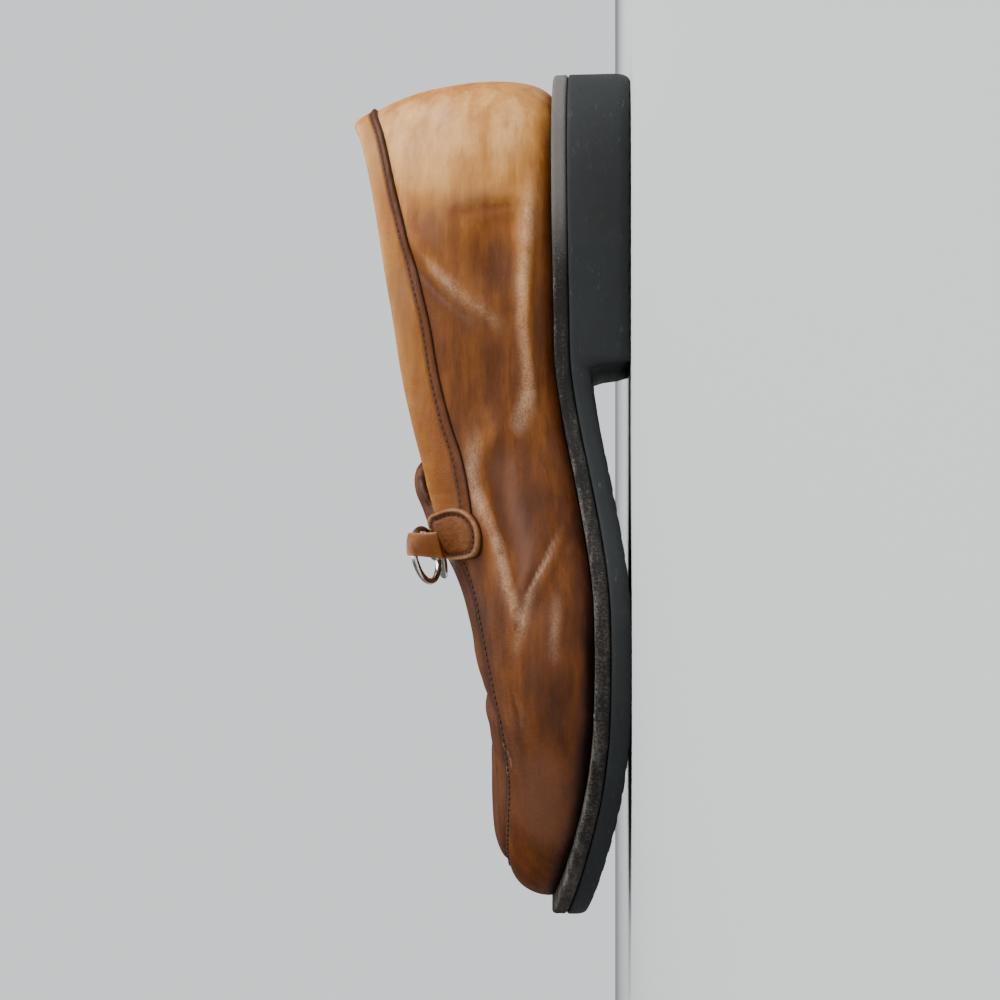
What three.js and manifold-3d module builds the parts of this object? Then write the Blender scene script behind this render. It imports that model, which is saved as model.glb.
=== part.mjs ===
// Horsebit loafer, left shoe, empty and unbent, in millimetres.
// X runs from the back of the heel to the toe, +Y is the outer side of the foot, +Z is up, and the
// heel and the ball of the foot both stand on Z = 0.
import * as THREE from 'three';
import { mergeVertices } from 'three/addons/utils/BufferGeometryUtils.js';
import Module from 'manifold-3d';

const wasm = await Module();
wasm.setup();

// Driving sizes
const LENGTH = 300;
const BALL_WIDTH = 107;
const SEAT_HEIGHT = 21.5;
const BACK_HEIGHT = 73;
const INSTEP_HEIGHT = 57.5;

// Layers and clearances
const FIT = 0.3;
const OUTSOLE_THICKNESS = 6.6;
const MIDSOLE_THICKNESS = 5;
const INSOLE_THICKNESS = 2.5;
const LEATHER = 2;
const SOLE_EDGE_ROUND = 2.5;
const HEEL_EDGE_ROUND = 4;
const BREAST_FOOT = 0.353;
const BREAST_TOP = 0.359;

// Snaffle bit
const RING_RADIUS = 9.4;
const WIRE_RADIUS = 1.15;
const RING_AT = 171.5;
const RING_OUT = 15.4;
const RING_TILT = THREE.MathUtils.degToRad(16);
const RING_PITCH = THREE.MathUtils.degToRad(13);
const BAR_RADIUS = 1.5;
const BARREL_RADIUS = 2.5;
const BARREL_HALF_LENGTH = 2.4;
const COLLAR_RADIUS = 2.1;
const COLLAR_HALF_LENGTH = 1.3;

// Strap: a stitched tab on each side, and an arm that loops round the wire of the ring
const TAB = { at: 165, halfLength: 9.6, low: 0.72, high: 0.985, thickness: 2.2 };
const ARM = { at: 167.5, halfWidth: 3.5, root: 0.86, rise: 1.6, rootThickness: 2.4, loopRadius: 2.7 };
const ARM_BEND = { off: 1.9, above: 3.2 };

// Mesh densities: stations round half a shoe, behind and before the strap, and steps up and across
const REAR_STATIONS = 18;
const FRONT_STATIONS = 18;
const WALL_STEPS = 9;
const APRON_STEPS = 10;
const STRAP_SHARE = 0.53;

// A place on the edge of the shoe is its walk: 0 at the back of the heel, 1 at the tip of the toe.
const shareOf = (walk) => (1 - Math.cos(Math.PI * walk)) / 2;
const walkOf = (share) => Math.acos(1 - 2 * share) / Math.PI;

// Stations shared by all the layers, with one at the strap, where the tongue leaves the side wall
const strapWalk = walkOf(STRAP_SHARE);
const stations = [];
for (let i = 0; i < REAR_STATIONS; i += 1) stations.push(strapWalk * (i / REAR_STATIONS));
for (let i = 0; i <= FRONT_STATIONS; i += 1) {
  stations.push(strapWalk + (1 - strapWalk) * (i / FRONT_STATIONS));
}

// Reads named columns on smooth curves through the rows. The first column is the share of the length.
// A table that goes round the shoe is mirrored at heel and toe: widths change sign there.
function table(columns, rows, { round = false, widths = [] } = {}) {
  const key = round ? walkOf : (share) => share;
  const knots = rows.map((row) => key(row[0]));
  const last = rows.length - 1;
  const read = {};
  columns.slice(1).forEach((name, column) => {
    const values = rows.map((row) => row[column + 1]);
    const sign = widths.includes(name) ? -1 : 1;
    const before = round ? [-knots[1], sign * values[1]] : [knots[0], values[0]];
    const after = round ? [2 - knots[last - 1], sign * values[last - 1]] : [knots[last], values[last]];
    const slopes = knots.map((_, i) => {
      const [k0, v0] = i > 0 ? [knots[i - 1], values[i - 1]] : before;
      const [k1, v1] = i < last ? [knots[i + 1], values[i + 1]] : after;
      return (v1 - v0) / (k1 - k0);
    });
    read[name] = (share) => {
      const place = Math.min(Math.max(key(share), knots[0]), knots[last]);
      let i = 0;
      while (i < last - 1 && place > knots[i + 1]) i += 1;
      const span = knots[i + 1] - knots[i];
      const u = (place - knots[i]) / span;
      const fromValues = values[i] * (1 + 2 * u) * (1 - u) ** 2 + values[i + 1] * u * u * (3 - 2 * u);
      const fromSlopes = slopes[i] * u * (1 - u) ** 2 - slopes[i + 1] * u * u * (1 - u);
      return fromValues + span * fromSlopes;
    };
  });
  return read;
}

// Edge of the sole: half widths in shares of the ball width, on the inner and the outer side
const OUTLINE = table(['at', 'inner', 'outer'], [
  [0, 0, 0],
  [0.02, 0.185, 0.185],
  [0.06, 0.28, 0.28],
  [0.12, 0.322, 0.325],
  [0.2, 0.327, 0.335],
  [0.3, 0.303, 0.322],
  [0.4, 0.282, 0.318],
  [0.5, 0.327, 0.372],
  [0.6, 0.418, 0.463],
  [0.66, 0.465, 0.492],
  [0.72, 0.492, 0.497],
  [0.78, 0.482, 0.47],
  [0.85, 0.432, 0.415],
  [0.91, 0.356, 0.342],
  [0.96, 0.254, 0.248],
  [0.985, 0.162, 0.16],
  [1, 0, 0],
], { round: true, widths: ['inner', 'outer'] });

// Top of the outsole above the floor, in shares of the seat height: heel seat, waist, ball, toe spring
const PITCH = table(['at', 'seat'], [
  [0, 1],
  [0.15, 0.99],
  [0.3, 0.955],
  [0.359, 0.93],
  [0.42, 0.8],
  [0.48, 0.625],
  [0.54, 0.46],
  [0.595, 0.345],
  [0.64, 0.306],
  [0.72, 0.306],
  [0.775, 0.345],
  [0.84, 0.47],
  [0.92, 0.73],
  [1, 1.05],
]);

// Upper edge of the side wall, which is the topline behind the strap and the apron seam before it.
// x is in shares of the length, outer and inner of the ball width, rim and crest (the ridge of the
// apron) in shares of the back height and the instep height above the midsole.
const RIM = table(['at', 'x', 'outer', 'inner', 'rim', 'crest'], [
  [0, 0.053, 0, 0, 1, 1],
  [0.03, 0.063, 0.118, 0.118, 0.975, 1],
  [0.08, 0.095, 0.195, 0.195, 0.915, 1],
  [0.15, 0.153, 0.243, 0.24, 0.855, 1],
  [0.25, 0.25, 0.275, 0.262, 0.79, 1],
  [0.35, 0.349, 0.297, 0.275, 0.727, 1],
  [0.45, 0.448, 0.302, 0.28, 0.7, 1],
  [0.53, 0.525, 0.287, 0.275, 0.685, 1],
  [0.6, 0.59, 0.278, 0.272, 0.589, 0.877],
  [0.66, 0.65, 0.285, 0.28, 0.541, 0.79],
  [0.72, 0.71, 0.293, 0.288, 0.494, 0.735],
  [0.78, 0.765, 0.289, 0.287, 0.436, 0.665],
  [0.84, 0.815, 0.272, 0.275, 0.381, 0.617],
  [0.9, 0.862, 0.245, 0.249, 0.351, 0.571],
  [0.95, 0.903, 0.195, 0.199, 0.322, 0.505],
  [0.98, 0.929, 0.128, 0.13, 0.288, 0.425],
  [1, 0.938, 0, 0, 0.268, 0.34],
], { round: true, widths: ['outer', 'inner'] });

// Side wall between midsole and rim: how far its foot lies inside the edge of the sole, and how far
// its belly and shoulder stand out past the foot, in shares of the ball width, and how high they are,
// in shares of the back height
const WALL = table(['at', 'inset', 'bellyOut', 'bellyUp', 'shoulderOut', 'shoulderUp'], [
  [0, 0.075, 0.093, 0.082, 0.098, 0.63],
  [0.08, 0.066, 0.085, 0.082, 0.085, 0.58],
  [0.15, 0.056, 0.075, 0.082, 0.075, 0.55],
  [0.25, 0.054, 0.061, 0.082, 0.072, 0.5],
  [0.35, 0.054, 0.055, 0.082, 0.078, 0.46],
  [0.45, 0.054, 0.055, 0.082, 0.08, 0.45],
  [0.6, 0.054, 0.052, 0.082, 0.052, 0.42],
  [0.72, 0.054, 0.045, 0.075, 0.028, 0.35],
  [0.84, 0.054, 0.036, 0.075, 0.01, 0.28],
  [0.95, 0.056, 0.022, 0.075, -0.02, 0.225],
  [1, 0.058, 0.01, 0.075, -0.036, 0.212],
], { round: true });

// Tongue behind the strap: back is how far each row lies behind the strap, half its half width in
// shares of the width at the strap, edge and crest its heights above the midsole
const TONGUE_ROWS = [
  { back: 3.5, half: 0.885, edge: 51.2, crest: 58.3 },
  { back: 8, half: 0.85, edge: 53, crest: 59.2 },
  { back: 13, half: 0.76, edge: 54, crest: 58.9 },
  { back: 17, half: 0.6, edge: 54.2, crest: 57.4 },
  { back: 19.5, half: 0.4, edge: 53.6, crest: 55.2 },
];
const TONGUE_ROUNDING = 2.5;
const CROWN_FULLNESS = 2.2;

// Heights along the length
const seatHeight = (share) => SEAT_HEIGHT * PITCH.seat(share);
const underMidsole = (share) => seatHeight(share) + FIT;
const overMidsole = (share) => underMidsole(share) + MIDSOLE_THICKNESS;
const foreTread = (share) => Math.max(0, seatHeight(share) - OUTSOLE_THICKNESS);

// Plan of the sole's edge, and the direction that points straight out of it
function solePlan(walk, side) {
  const share = shareOf(walk);
  const half = side > 0 ? OUTLINE.outer(share) : OUTLINE.inner(share);
  return new THREE.Vector2(LENGTH * share, side * BALL_WIDTH * half);
}

function outward(walk, side) {
  const step = 0.002;
  const ahead = solePlan(Math.min(walk + step, 1), side);
  const behind = solePlan(Math.max(walk - step, 0), side);
  if (walk < step) behind.set(ahead.x, -ahead.y);
  if (walk > 1 - step) ahead.set(behind.x, -behind.y);
  const along = ahead.sub(behind).normalize();
  return new THREE.Vector2(-side * along.y, side * along.x);
}

function edgePoint(walk, side, inset, height) {
  const plan = solePlan(walk, side).addScaledVector(outward(walk, side), -inset);
  return new THREE.Vector3(plan.x, plan.y, height);
}

const footInset = (walk) => BALL_WIDTH * WALL.inset(shareOf(walk));
const foot = (walk, side) => edgePoint(walk, side, footInset(walk), overMidsole(shareOf(walk)) + FIT);

function rimPoint(walk, side) {
  const share = shareOf(walk);
  const half = side > 0 ? RIM.outer(share) : RIM.inner(share);
  const x = RIM.x(share);
  const z = overMidsole(x) + BACK_HEIGHT * RIM.rim(share);
  return new THREE.Vector3(LENGTH * x, side * BALL_WIDTH * half, z);
}

// Outer face of the side wall: up is 0 at the midsole and 1 at the rim
function wallPoint(walk, side, up) {
  const share = shareOf(walk);
  const bottom = foot(walk, side);
  const out = outward(walk, side);
  const swell = (reach, rise) => new THREE.Vector3(
    bottom.x + out.x * BALL_WIDTH * reach,
    bottom.y + out.y * BALL_WIDTH * reach,
    bottom.z + BACK_HEIGHT * rise,
  );
  const profile = new THREE.CubicBezierCurve3(
    bottom,
    swell(WALL.bellyOut(share), WALL.bellyUp(share)),
    swell(WALL.shoulderOut(share), WALL.shoulderUp(share)),
    rimPoint(walk, side),
  );
  return profile.getPoint(up);
}

function wallNormal(walk, side, up) {
  const step = 0.01;
  const alongX = wallPoint(walk + step, side, up).sub(wallPoint(walk - step, side, up));
  const upward = wallPoint(walk, side, Math.min(up + step, 1)).sub(wallPoint(walk, side, up - step));
  return upward.cross(alongX).multiplyScalar(side).normalize();
}

// A row across the apron or the tongue, from the outer edge (across = 1) to the inner edge (-1)
function crownedRow(outerEdge, innerEdge, crest, across) {
  const middle = outerEdge.clone().lerp(innerEdge, (1 - across) / 2);
  middle.z += (crest - middle.z) * (1 - Math.abs(across) ** CROWN_FULLNESS);
  return middle;
}

function apronPoint(walk, across) {
  const crest = overMidsole(RIM.x(shareOf(walk))) + INSTEP_HEIGHT * RIM.crest(shareOf(walk));
  return crownedRow(rimPoint(walk, 1), rimPoint(walk, -1), crest, across);
}

function tonguePoint(row, across) {
  const x = rimPoint(strapWalk, 1).x - row.back + TONGUE_ROUNDING * (row.back / 20) * across * across;
  const base = overMidsole(x / LENGTH);
  const outer = new THREE.Vector3(x, rimPoint(strapWalk, 1).y * row.half, base + row.edge);
  const inner = new THREE.Vector3(x, rimPoint(strapWalk, -1).y * row.half, base + row.edge);
  return crownedRow(outer, inner, base + row.crest, across);
}

// Height of the apron over a place on the floor plan
function apronHeight(x, y) {
  let low = 0.5;
  let high = 1;
  for (let i = 0; i < 30; i += 1) {
    const middle = (low + high) / 2;
    if (rimPoint(middle, 1).x < x) low = middle;
    else high = middle;
  }
  const half = Math.abs(rimPoint(low, Math.sign(y) || 1).y);
  return apronPoint(low, y / half).z;
}

// Mesh building: a body whose faces came out pointing in, as on a mirrored piece, is turned round
function meshGeometry(points, faces) {
  const volume = faces.reduce((sum, [a, b, c]) => {
    return sum + points[a].dot(points[b].clone().cross(points[c]));
  }, 0);
  if (volume < 0) faces.forEach((face) => face.reverse());
  const geometry = new THREE.BufferGeometry();
  geometry.setAttribute('position', new THREE.Float32BufferAttribute(points.flatMap((p) => p.toArray()), 3));
  geometry.setIndex(faces.flat());
  return geometry;
}

function quad(faces, points, a, b, c, d) {
  for (const face of [[a, b, c], [a, c, d]]) {
    const [p, q, r] = face.map((i) => points[i]);
    if (p !== q && q !== r && r !== p) faces.push(face);
  }
}

// Closed body whose top and bottom are ruled from side to side, with one ring of points per level
function plate(walks, levels) {
  const count = walks.length - 1;
  const points = [];
  const ringAt = levels.map((level) => {
    const start = points.length;
    for (let i = 0; i <= count; i += 1) points.push(level(walks[i], 1));
    for (let i = count - 1; i > 0; i -= 1) points.push(level(walks[i], -1));
    return start;
  });
  const ring = 2 * count;
  const faces = [];
  for (let j = 0; j + 1 < levels.length; j += 1) {
    for (let k = 0; k < ring; k += 1) {
      const next = (k + 1) % ring;
      quad(faces, points, ringAt[j + 1] + k, ringAt[j] + k, ringAt[j] + next, ringAt[j + 1] + next);
    }
  }
  const cap = (start, flip) => {
    for (let i = 0; i < count; i += 1) {
      const near = [start + i, start + i + 1];
      const far = [start + ((ring - i) % ring), start + ring - i - 1];
      const corners = [far[0], far[1], near[1], near[0]].filter((c, n, all) => all.indexOf(c) === n);
      if (flip) corners.reverse();
      for (let n = 1; n + 1 < corners.length; n += 1) faces.push([corners[0], corners[n], corners[n + 1]]);
    }
  };
  cap(ringAt[0], false);
  cap(ringAt[levels.length - 1], true);
  return meshGeometry(points, faces);
}

// Closed skin of leather from an open sheet: each point has a copy on the other face, and the free
// edges are closed between the two
function skin(points, faces, thickness, straightIn = new Map()) {
  const normals = points.map(() => new THREE.Vector3());
  for (const [a, b, c] of faces) {
    const side = points[b].clone().sub(points[a]).cross(points[c].clone().sub(points[a]));
    for (const i of [a, b, c]) normals[i].add(side);
  }
  const count = points.length;
  const backs = points.map((point, i) => {
    const direction = straightIn.get(i) ?? normals[i].normalize().negate();
    return point.clone().addScaledVector(direction, thickness);
  });
  const edges = new Set(faces.flatMap(([a, b, c]) => [`${a} ${b}`, `${b} ${c}`, `${c} ${a}`]));
  const all = faces.concat(faces.map(([a, b, c]) => [c + count, b + count, a + count]));
  for (const edge of edges) {
    const [a, b] = edge.split(' ').map(Number);
    if (!edges.has(`${b} ${a}`)) all.push([b, a, a + count], [b, a + count, b + count]);
  }
  return meshGeometry(points.concat(backs), all);
}

function toManifold(geometry) {
  const bare = geometry.clone();
  bare.deleteAttribute('normal');
  bare.deleteAttribute('uv');
  const merged = mergeVertices(bare, 1e-4);
  return new wasm.Manifold(new wasm.Mesh({
    numProp: 3,
    vertProperties: new Float32Array(merged.attributes.position.array),
    triVerts: new Uint32Array(merged.index.array),
  }));
}

function fromManifold(solid) {
  const mesh = solid.getMesh();
  const geometry = new THREE.BufferGeometry();
  geometry.setAttribute('position', new THREE.BufferAttribute(mesh.vertProperties, 3));
  geometry.setIndex(new THREE.BufferAttribute(mesh.triVerts, 1));
  return geometry;
}

// Outsole: one moulded rubber unit, thin under the forefoot and waist, with the heel below its back
function outsole() {
  const breast = [walkOf(BREAST_FOOT), walkOf(BREAST_TOP)];
  const clear = stations.filter((walk) => breast.every((step) => Math.abs(step - walk) > 0.008));
  const walks = clear.concat(breast).sort((a, b) => a - b);
  const isHeel = (walk) => shareOf(walk) <= BREAST_FOOT + 0.001;
  const roundAt = (walk) => (isHeel(walk) ? HEEL_EDGE_ROUND : SOLE_EDGE_ROUND);
  const tread = (walk) => (isHeel(walk) ? 0 : foreTread(shareOf(walk)));
  return plate(walks, [
    (walk, side) => edgePoint(walk, side, 0.4, seatHeight(shareOf(walk))),
    (walk, side) => edgePoint(walk, side, 0, seatHeight(shareOf(walk)) - 0.8),
    (walk, side) => edgePoint(walk, side, 0.4, tread(walk) + roundAt(walk)),
    (walk, side) => edgePoint(walk, side, roundAt(walk) * 0.35, tread(walk) + roundAt(walk) * 0.3),
    (walk, side) => edgePoint(walk, side, roundAt(walk) * 0.75, tread(walk)),
  ]);
}

// Midsole: the leather layer whose edge shows all round as a welt
function midsole() {
  return plate(stations, [
    (walk, side) => edgePoint(walk, side, 1.2, overMidsole(shareOf(walk))),
    (walk, side) => edgePoint(walk, side, 0, overMidsole(shareOf(walk)) - 1.2),
    (walk, side) => edgePoint(walk, side, 0, underMidsole(shareOf(walk)) + 0.8),
    (walk, side) => edgePoint(walk, side, 0.6, underMidsole(shareOf(walk))),
  ]);
}

// Insole: lies on the midsole inside the foot of the upper
function insole() {
  const inset = (walk) => footInset(walk) + LEATHER + 2 * FIT;
  const base = (walk) => overMidsole(shareOf(walk)) + FIT;
  return plate(stations, [
    (walk, side) => edgePoint(walk, side, inset(walk), base(walk) + INSOLE_THICKNESS),
    (walk, side) => edgePoint(walk, side, inset(walk), base(walk)),
  ]);
}

// Upper: side wall all round, joined to the apron at its seam, with the tongue behind the strap
function upper() {
  const last = stations.length - 1;
  const ring = [];
  for (let i = 0; i <= last; i += 1) ring.push([i, 1]);
  for (let i = last - 1; i > 0; i -= 1) ring.push([i, -1]);

  const points = [];
  const straightIn = new Map();
  for (const [i, side] of ring) {
    const out = outward(stations[i], side);
    straightIn.set(points.length, new THREE.Vector3(-out.x, -out.y, 0));
    for (let j = 0; j <= WALL_STEPS; j += 1) points.push(wallPoint(stations[i], side, j / WALL_STEPS));
  }
  const faces = [];
  const stride = WALL_STEPS + 1;
  ring.forEach((_, k) => {
    const next = (k + 1) % ring.length;
    for (let j = 0; j < WALL_STEPS; j += 1) {
      quad(faces, points, k * stride + j, k * stride + j + 1, next * stride + j + 1, next * stride + j);
    }
  });

  const rowOf = (place, outerEnd, innerEnd) => {
    const row = [outerEnd];
    for (let m = 1; m < APRON_STEPS; m += 1) row.push(points.push(place(1 - (2 * m) / APRON_STEPS)) - 1);
    row.push(innerEnd);
    return row;
  };
  const rows = TONGUE_ROWS.map((row) => rowOf(
    (across) => tonguePoint(row, across),
    points.push(tonguePoint(row, 1)) - 1,
    points.push(tonguePoint(row, -1)) - 1,
  )).reverse();
  const rimIndex = (k) => k * stride + WALL_STEPS;
  for (let i = REAR_STATIONS; i < last; i += 1) {
    rows.push(rowOf((across) => apronPoint(stations[i], across), rimIndex(i), rimIndex(ring.length - i)));
  }
  rows.push(new Array(APRON_STEPS + 1).fill(rimIndex(last)));
  for (let i = 0; i + 1 < rows.length; i += 1) {
    for (let m = 0; m < APRON_STEPS; m += 1) {
      quad(faces, points, rows[i][m], rows[i][m + 1], rows[i + 1][m + 1], rows[i + 1][m]);
    }
  }
  return skin(points, faces, LEATHER, straightIn);
}

// Where the bit lies: its bar rests on the ridge of the apron
const barSeat = (y, dx) => apronHeight(RING_AT + dx, y) + Math.sqrt(BARREL_RADIUS ** 2 - dx * dx);
const barZ = Math.max(...[0, 4, 8].flatMap((y) => [-2, -1, 0, 1].map((dx) => barSeat(y, dx)))) + FIT;
const ringZ = barZ + RING_RADIUS * Math.sin(RING_TILT) * Math.cos(RING_PITCH);

// The ring leans down to the middle of the shoe and, with the vamp, down to the toe
function ringGeometry(side, wireRadius, wireSides, steps) {
  const geometry = new THREE.TorusGeometry(RING_RADIUS, wireRadius, wireSides, steps);
  geometry.rotateX(side * RING_TILT);
  geometry.rotateY(RING_PITCH);
  geometry.translate(RING_AT, side * RING_OUT, ringZ);
  return geometry;
}

// Centre of the ring's outer wire at a place along the shoe, as its distance out and its height
function wireAt(x) {
  const cross = Math.sin(RING_TILT) * Math.sin(RING_PITCH);
  const turn = Math.acos((x - RING_AT) / (RING_RADIUS * Math.hypot(Math.cos(RING_PITCH), cross)));
  const angle = turn + Math.atan2(cross, Math.cos(RING_PITCH));
  const drop = Math.cos(angle) * Math.sin(RING_PITCH);
  const lift = Math.sin(angle) * Math.sin(RING_TILT) * Math.cos(RING_PITCH);
  return new THREE.Vector2(
    RING_OUT + RING_RADIUS * Math.sin(angle) * Math.cos(RING_TILT),
    ringZ + RING_RADIUS * (lift - drop),
  );
}

// Bar: a plain rod with a collar in the middle and a barrel round the wire of each ring
function bitBar() {
  const eye = RING_OUT - RING_RADIUS * Math.cos(RING_TILT);
  const half = [
    [COLLAR_RADIUS, 0],
    [COLLAR_RADIUS, COLLAR_HALF_LENGTH],
    [BAR_RADIUS, COLLAR_HALF_LENGTH + 0.6],
    [BAR_RADIUS, eye - BARREL_HALF_LENGTH - 0.4],
    [BARREL_RADIUS, eye - BARREL_HALF_LENGTH],
    [BARREL_RADIUS, eye + BARREL_HALF_LENGTH - 0.8],
    [BARREL_RADIUS - 1, eye + BARREL_HALF_LENGTH],
    [0, eye + BARREL_HALF_LENGTH],
  ].map(([radius, y]) => new THREE.Vector2(radius, y));
  const otherHalf = half.slice(1).reverse().map((p) => new THREE.Vector2(p.x, -p.y));
  const rod = new THREE.LatheGeometry(otherHalf.concat(half), 16);
  rod.translate(RING_AT, 0, barZ);
  const bores = [1, -1].map((side) => toManifold(ringGeometry(side, WIRE_RADIUS + FIT, 10, 40)));
  return fromManifold(toManifold(rod).subtract(bores[0]).subtract(bores[1]));
}

// Side tab: a rounded pad that follows the wall of the upper
function tabGeometry(side) {
  const segments = 28;
  const rings = 3;
  const squareness = 0.55;
  const bend = (value) => Math.sign(value) * Math.abs(value) ** squareness;
  const place = (radius, angle) => {
    const x = TAB.at + TAB.halfLength * radius * bend(Math.cos(angle));
    const middle = (TAB.low + TAB.high) / 2;
    const up = middle + ((TAB.high - TAB.low) / 2) * radius * bend(Math.sin(angle));
    const walk = walkOf(x / LENGTH);
    const lift = FIT + TAB.thickness * (1 - 0.3 * radius ** 4);
    return wallPoint(walk, side, up).addScaledVector(wallNormal(walk, side, up), lift);
  };
  const points = [place(0, 0)];
  for (let r = 1; r <= rings; r += 1) {
    for (let s = 0; s < segments; s += 1) points.push(place(r / rings, (2 * Math.PI * s) / segments));
  }
  const faces = [];
  const at = (r, s) => 1 + (r - 1) * segments + (s % segments);
  for (let s = 0; s < segments; s += 1) {
    faces.push([0, at(1, s + 1), at(1, s)]);
    for (let r = 1; r < rings; r += 1) {
      quad(faces, points, at(r, s), at(r, s + 1), at(r + 1, s + 1), at(r + 1, s));
    }
  }
  if (side < 0) faces.forEach((face) => face.reverse());
  return skin(points, faces, TAB.thickness * 0.7);
}

// Arm: leaves the tab along the wall, bends over the rim and folds round the wire of the ring
function armSection(x, side) {
  const walk = walkOf(x / LENGTH);
  const off = (up, lift) => {
    const point = wallPoint(walk, side, up).addScaledVector(wallNormal(walk, side, up), lift);
    return new THREE.Vector2(side * point.y, point.z);
  };
  const bend = off(1, ARM_BEND.off);
  bend.y += ARM_BEND.above;
  const path = new THREE.QuadraticBezierCurve(off(ARM.root, ARM.rise), bend, wireAt(x));
  const pathSteps = 5;
  const loopSteps = 8;
  const outside = [];
  const inside = [];
  for (let n = 0; n <= pathSteps; n += 1) {
    const t = n / pathSteps;
    const along = path.getTangent(t);
    const over = new THREE.Vector2(along.y, -along.x);
    const half = THREE.MathUtils.lerp(ARM.rootThickness / 2, ARM.loopRadius, t * t);
    outside.push(path.getPoint(t).addScaledVector(over, half));
    inside.unshift(path.getPoint(t).addScaledVector(over, -half));
  }
  const along = path.getTangent(1);
  const start = Math.atan2(-along.x, along.y);
  const loop = [];
  for (let k = 1; k < loopSteps; k += 1) {
    const angle = start + Math.PI * (k / loopSteps);
    loop.push(new THREE.Vector2(Math.cos(angle), Math.sin(angle)).multiplyScalar(ARM.loopRadius).add(wireAt(x)));
  }
  return [...outside, ...loop, ...inside].map((p) => new THREE.Vector3(x, side * p.x, p.y));
}

function armGeometry(side) {
  const slices = 6;
  const sections = [];
  for (let i = 0; i <= slices; i += 1) {
    sections.push(armSection(ARM.at + ARM.halfWidth * ((2 * i) / slices - 1), side));
  }
  const size = sections[0].length;
  const points = sections.flat();
  const faces = [];
  for (let i = 0; i < slices; i += 1) {
    for (let k = 0; k < size; k += 1) {
      const next = (k + 1) % size;
      quad(faces, points, i * size + k, i * size + next, (i + 1) * size + next, (i + 1) * size + k);
    }
  }
  const outline = sections[0].map((p) => new THREE.Vector2(p.y, p.z));
  const last = slices * size;
  for (const [a, b, c] of THREE.ShapeUtils.triangulateShape(outline, [])) {
    const turned = THREE.ShapeUtils.isClockWise(outline);
    faces.push(turned ? [a, b, c] : [a, c, b]);
    faces.push(turned ? [last + a, last + c, last + b] : [last + a, last + b, last + c]);
  }
  return meshGeometry(points, faces);
}

function strap(side) {
  const bore = toManifold(ringGeometry(side, WIRE_RADIUS + FIT, 10, 40));
  return fromManifold(toManifold(tabGeometry(side)).add(toManifold(armGeometry(side))).subtract(bore));
}

// Materials
const rubber = new THREE.MeshStandardMaterial({ color: 0x23282a, roughness: 0.75, metalness: 0 });
const edgeLeather = new THREE.MeshStandardMaterial({ color: 0x4a4540, roughness: 0.85, metalness: 0 });
const lining = new THREE.MeshStandardMaterial({ color: 0xb59a78, roughness: 0.8, metalness: 0 });
const tanLeather = new THREE.MeshStandardMaterial({ color: 0x96602f, roughness: 0.45, metalness: 0 });
const steel = new THREE.MeshStandardMaterial({ color: 0xd8d8d6, roughness: 0.2, metalness: 1 });

// Assembly
const shoe = new THREE.Group();
function piece(name, geometry, material) {
  const mesh = new THREE.Mesh(geometry, material);
  mesh.name = name;
  shoe.add(mesh);
}

piece('outsole', outsole(), rubber);
piece('midsole', midsole(), edgeLeather);
piece('insole', insole(), lining);
piece('upper', upper(), tanLeather);
for (const [name, side] of [['lateral', 1], ['medial', -1]]) {
  piece(`strap_${name}`, strap(side), tanLeather);
  piece(`bit_ring_${name}`, ringGeometry(side, WIRE_RADIUS, 8, 36), steel);
}
piece('bit_bar', bitBar(), steel);

// The origin is on the floor under the middle of the shoe
const box = new THREE.Box3().setFromObject(shoe);
const middle = box.getCenter(new THREE.Vector3());
shoe.position.set(-middle.x, -middle.y, -box.min.z);

export default shoe;
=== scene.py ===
import bisect
import math
from functools import lru_cache
from types import SimpleNamespace

import bmesh
import bpy
from mathutils import Matrix, Vector, noise


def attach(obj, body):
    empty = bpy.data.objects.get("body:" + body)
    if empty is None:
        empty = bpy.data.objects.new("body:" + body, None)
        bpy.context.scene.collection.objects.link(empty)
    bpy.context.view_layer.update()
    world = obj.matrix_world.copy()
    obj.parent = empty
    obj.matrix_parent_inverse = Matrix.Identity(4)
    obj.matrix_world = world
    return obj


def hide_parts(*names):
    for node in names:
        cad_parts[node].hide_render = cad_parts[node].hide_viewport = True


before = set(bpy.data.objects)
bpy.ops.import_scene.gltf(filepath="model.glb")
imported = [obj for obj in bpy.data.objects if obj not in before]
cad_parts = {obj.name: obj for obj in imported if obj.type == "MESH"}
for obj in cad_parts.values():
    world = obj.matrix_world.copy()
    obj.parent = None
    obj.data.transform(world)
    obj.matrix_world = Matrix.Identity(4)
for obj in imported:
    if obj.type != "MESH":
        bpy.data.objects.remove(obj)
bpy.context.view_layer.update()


# Rubber unit: one black moulding with the heel, the waist and the forefoot in it, cemented under
# the midsole. Its lower edges are rounded, and shallow bars cross its tread. All sizes are in
# millimetres from the back of the heel, with +Y on the outer side.
MM = 0.001
LENGTH = 300
BALL_WIDTH = 107
SEAT_HEIGHT = 21.5
OUTSOLE_THICKNESS = 6.6
FIT = 0.3
HEEL_BREAST = (0.353, 0.359)
HEEL_EDGE_ROUND = 4
SOLE_EDGE_ROUND = 2.5
TREAD_BAR_PITCH = 7.5
TREAD_BAR_DEPTH = 0.45
RUBBER_COLUMNS = 220
BREAST_CLEARANCE, BREAST_CORNER = 0.003, 0.0012
EDGE_STEP = 0.002


def clamp(value, low=0, high=1):
    return min(max(value, low), high)


def share_of(walk):
    """Share of the length at a place on the shoe's edge: walk is 0 at the heel and 1 at the toe."""
    return (1 - math.cos(math.pi * walk)) / 2


def walk_of(share):
    return math.acos(1 - 2 * clamp(share)) / math.pi


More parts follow.
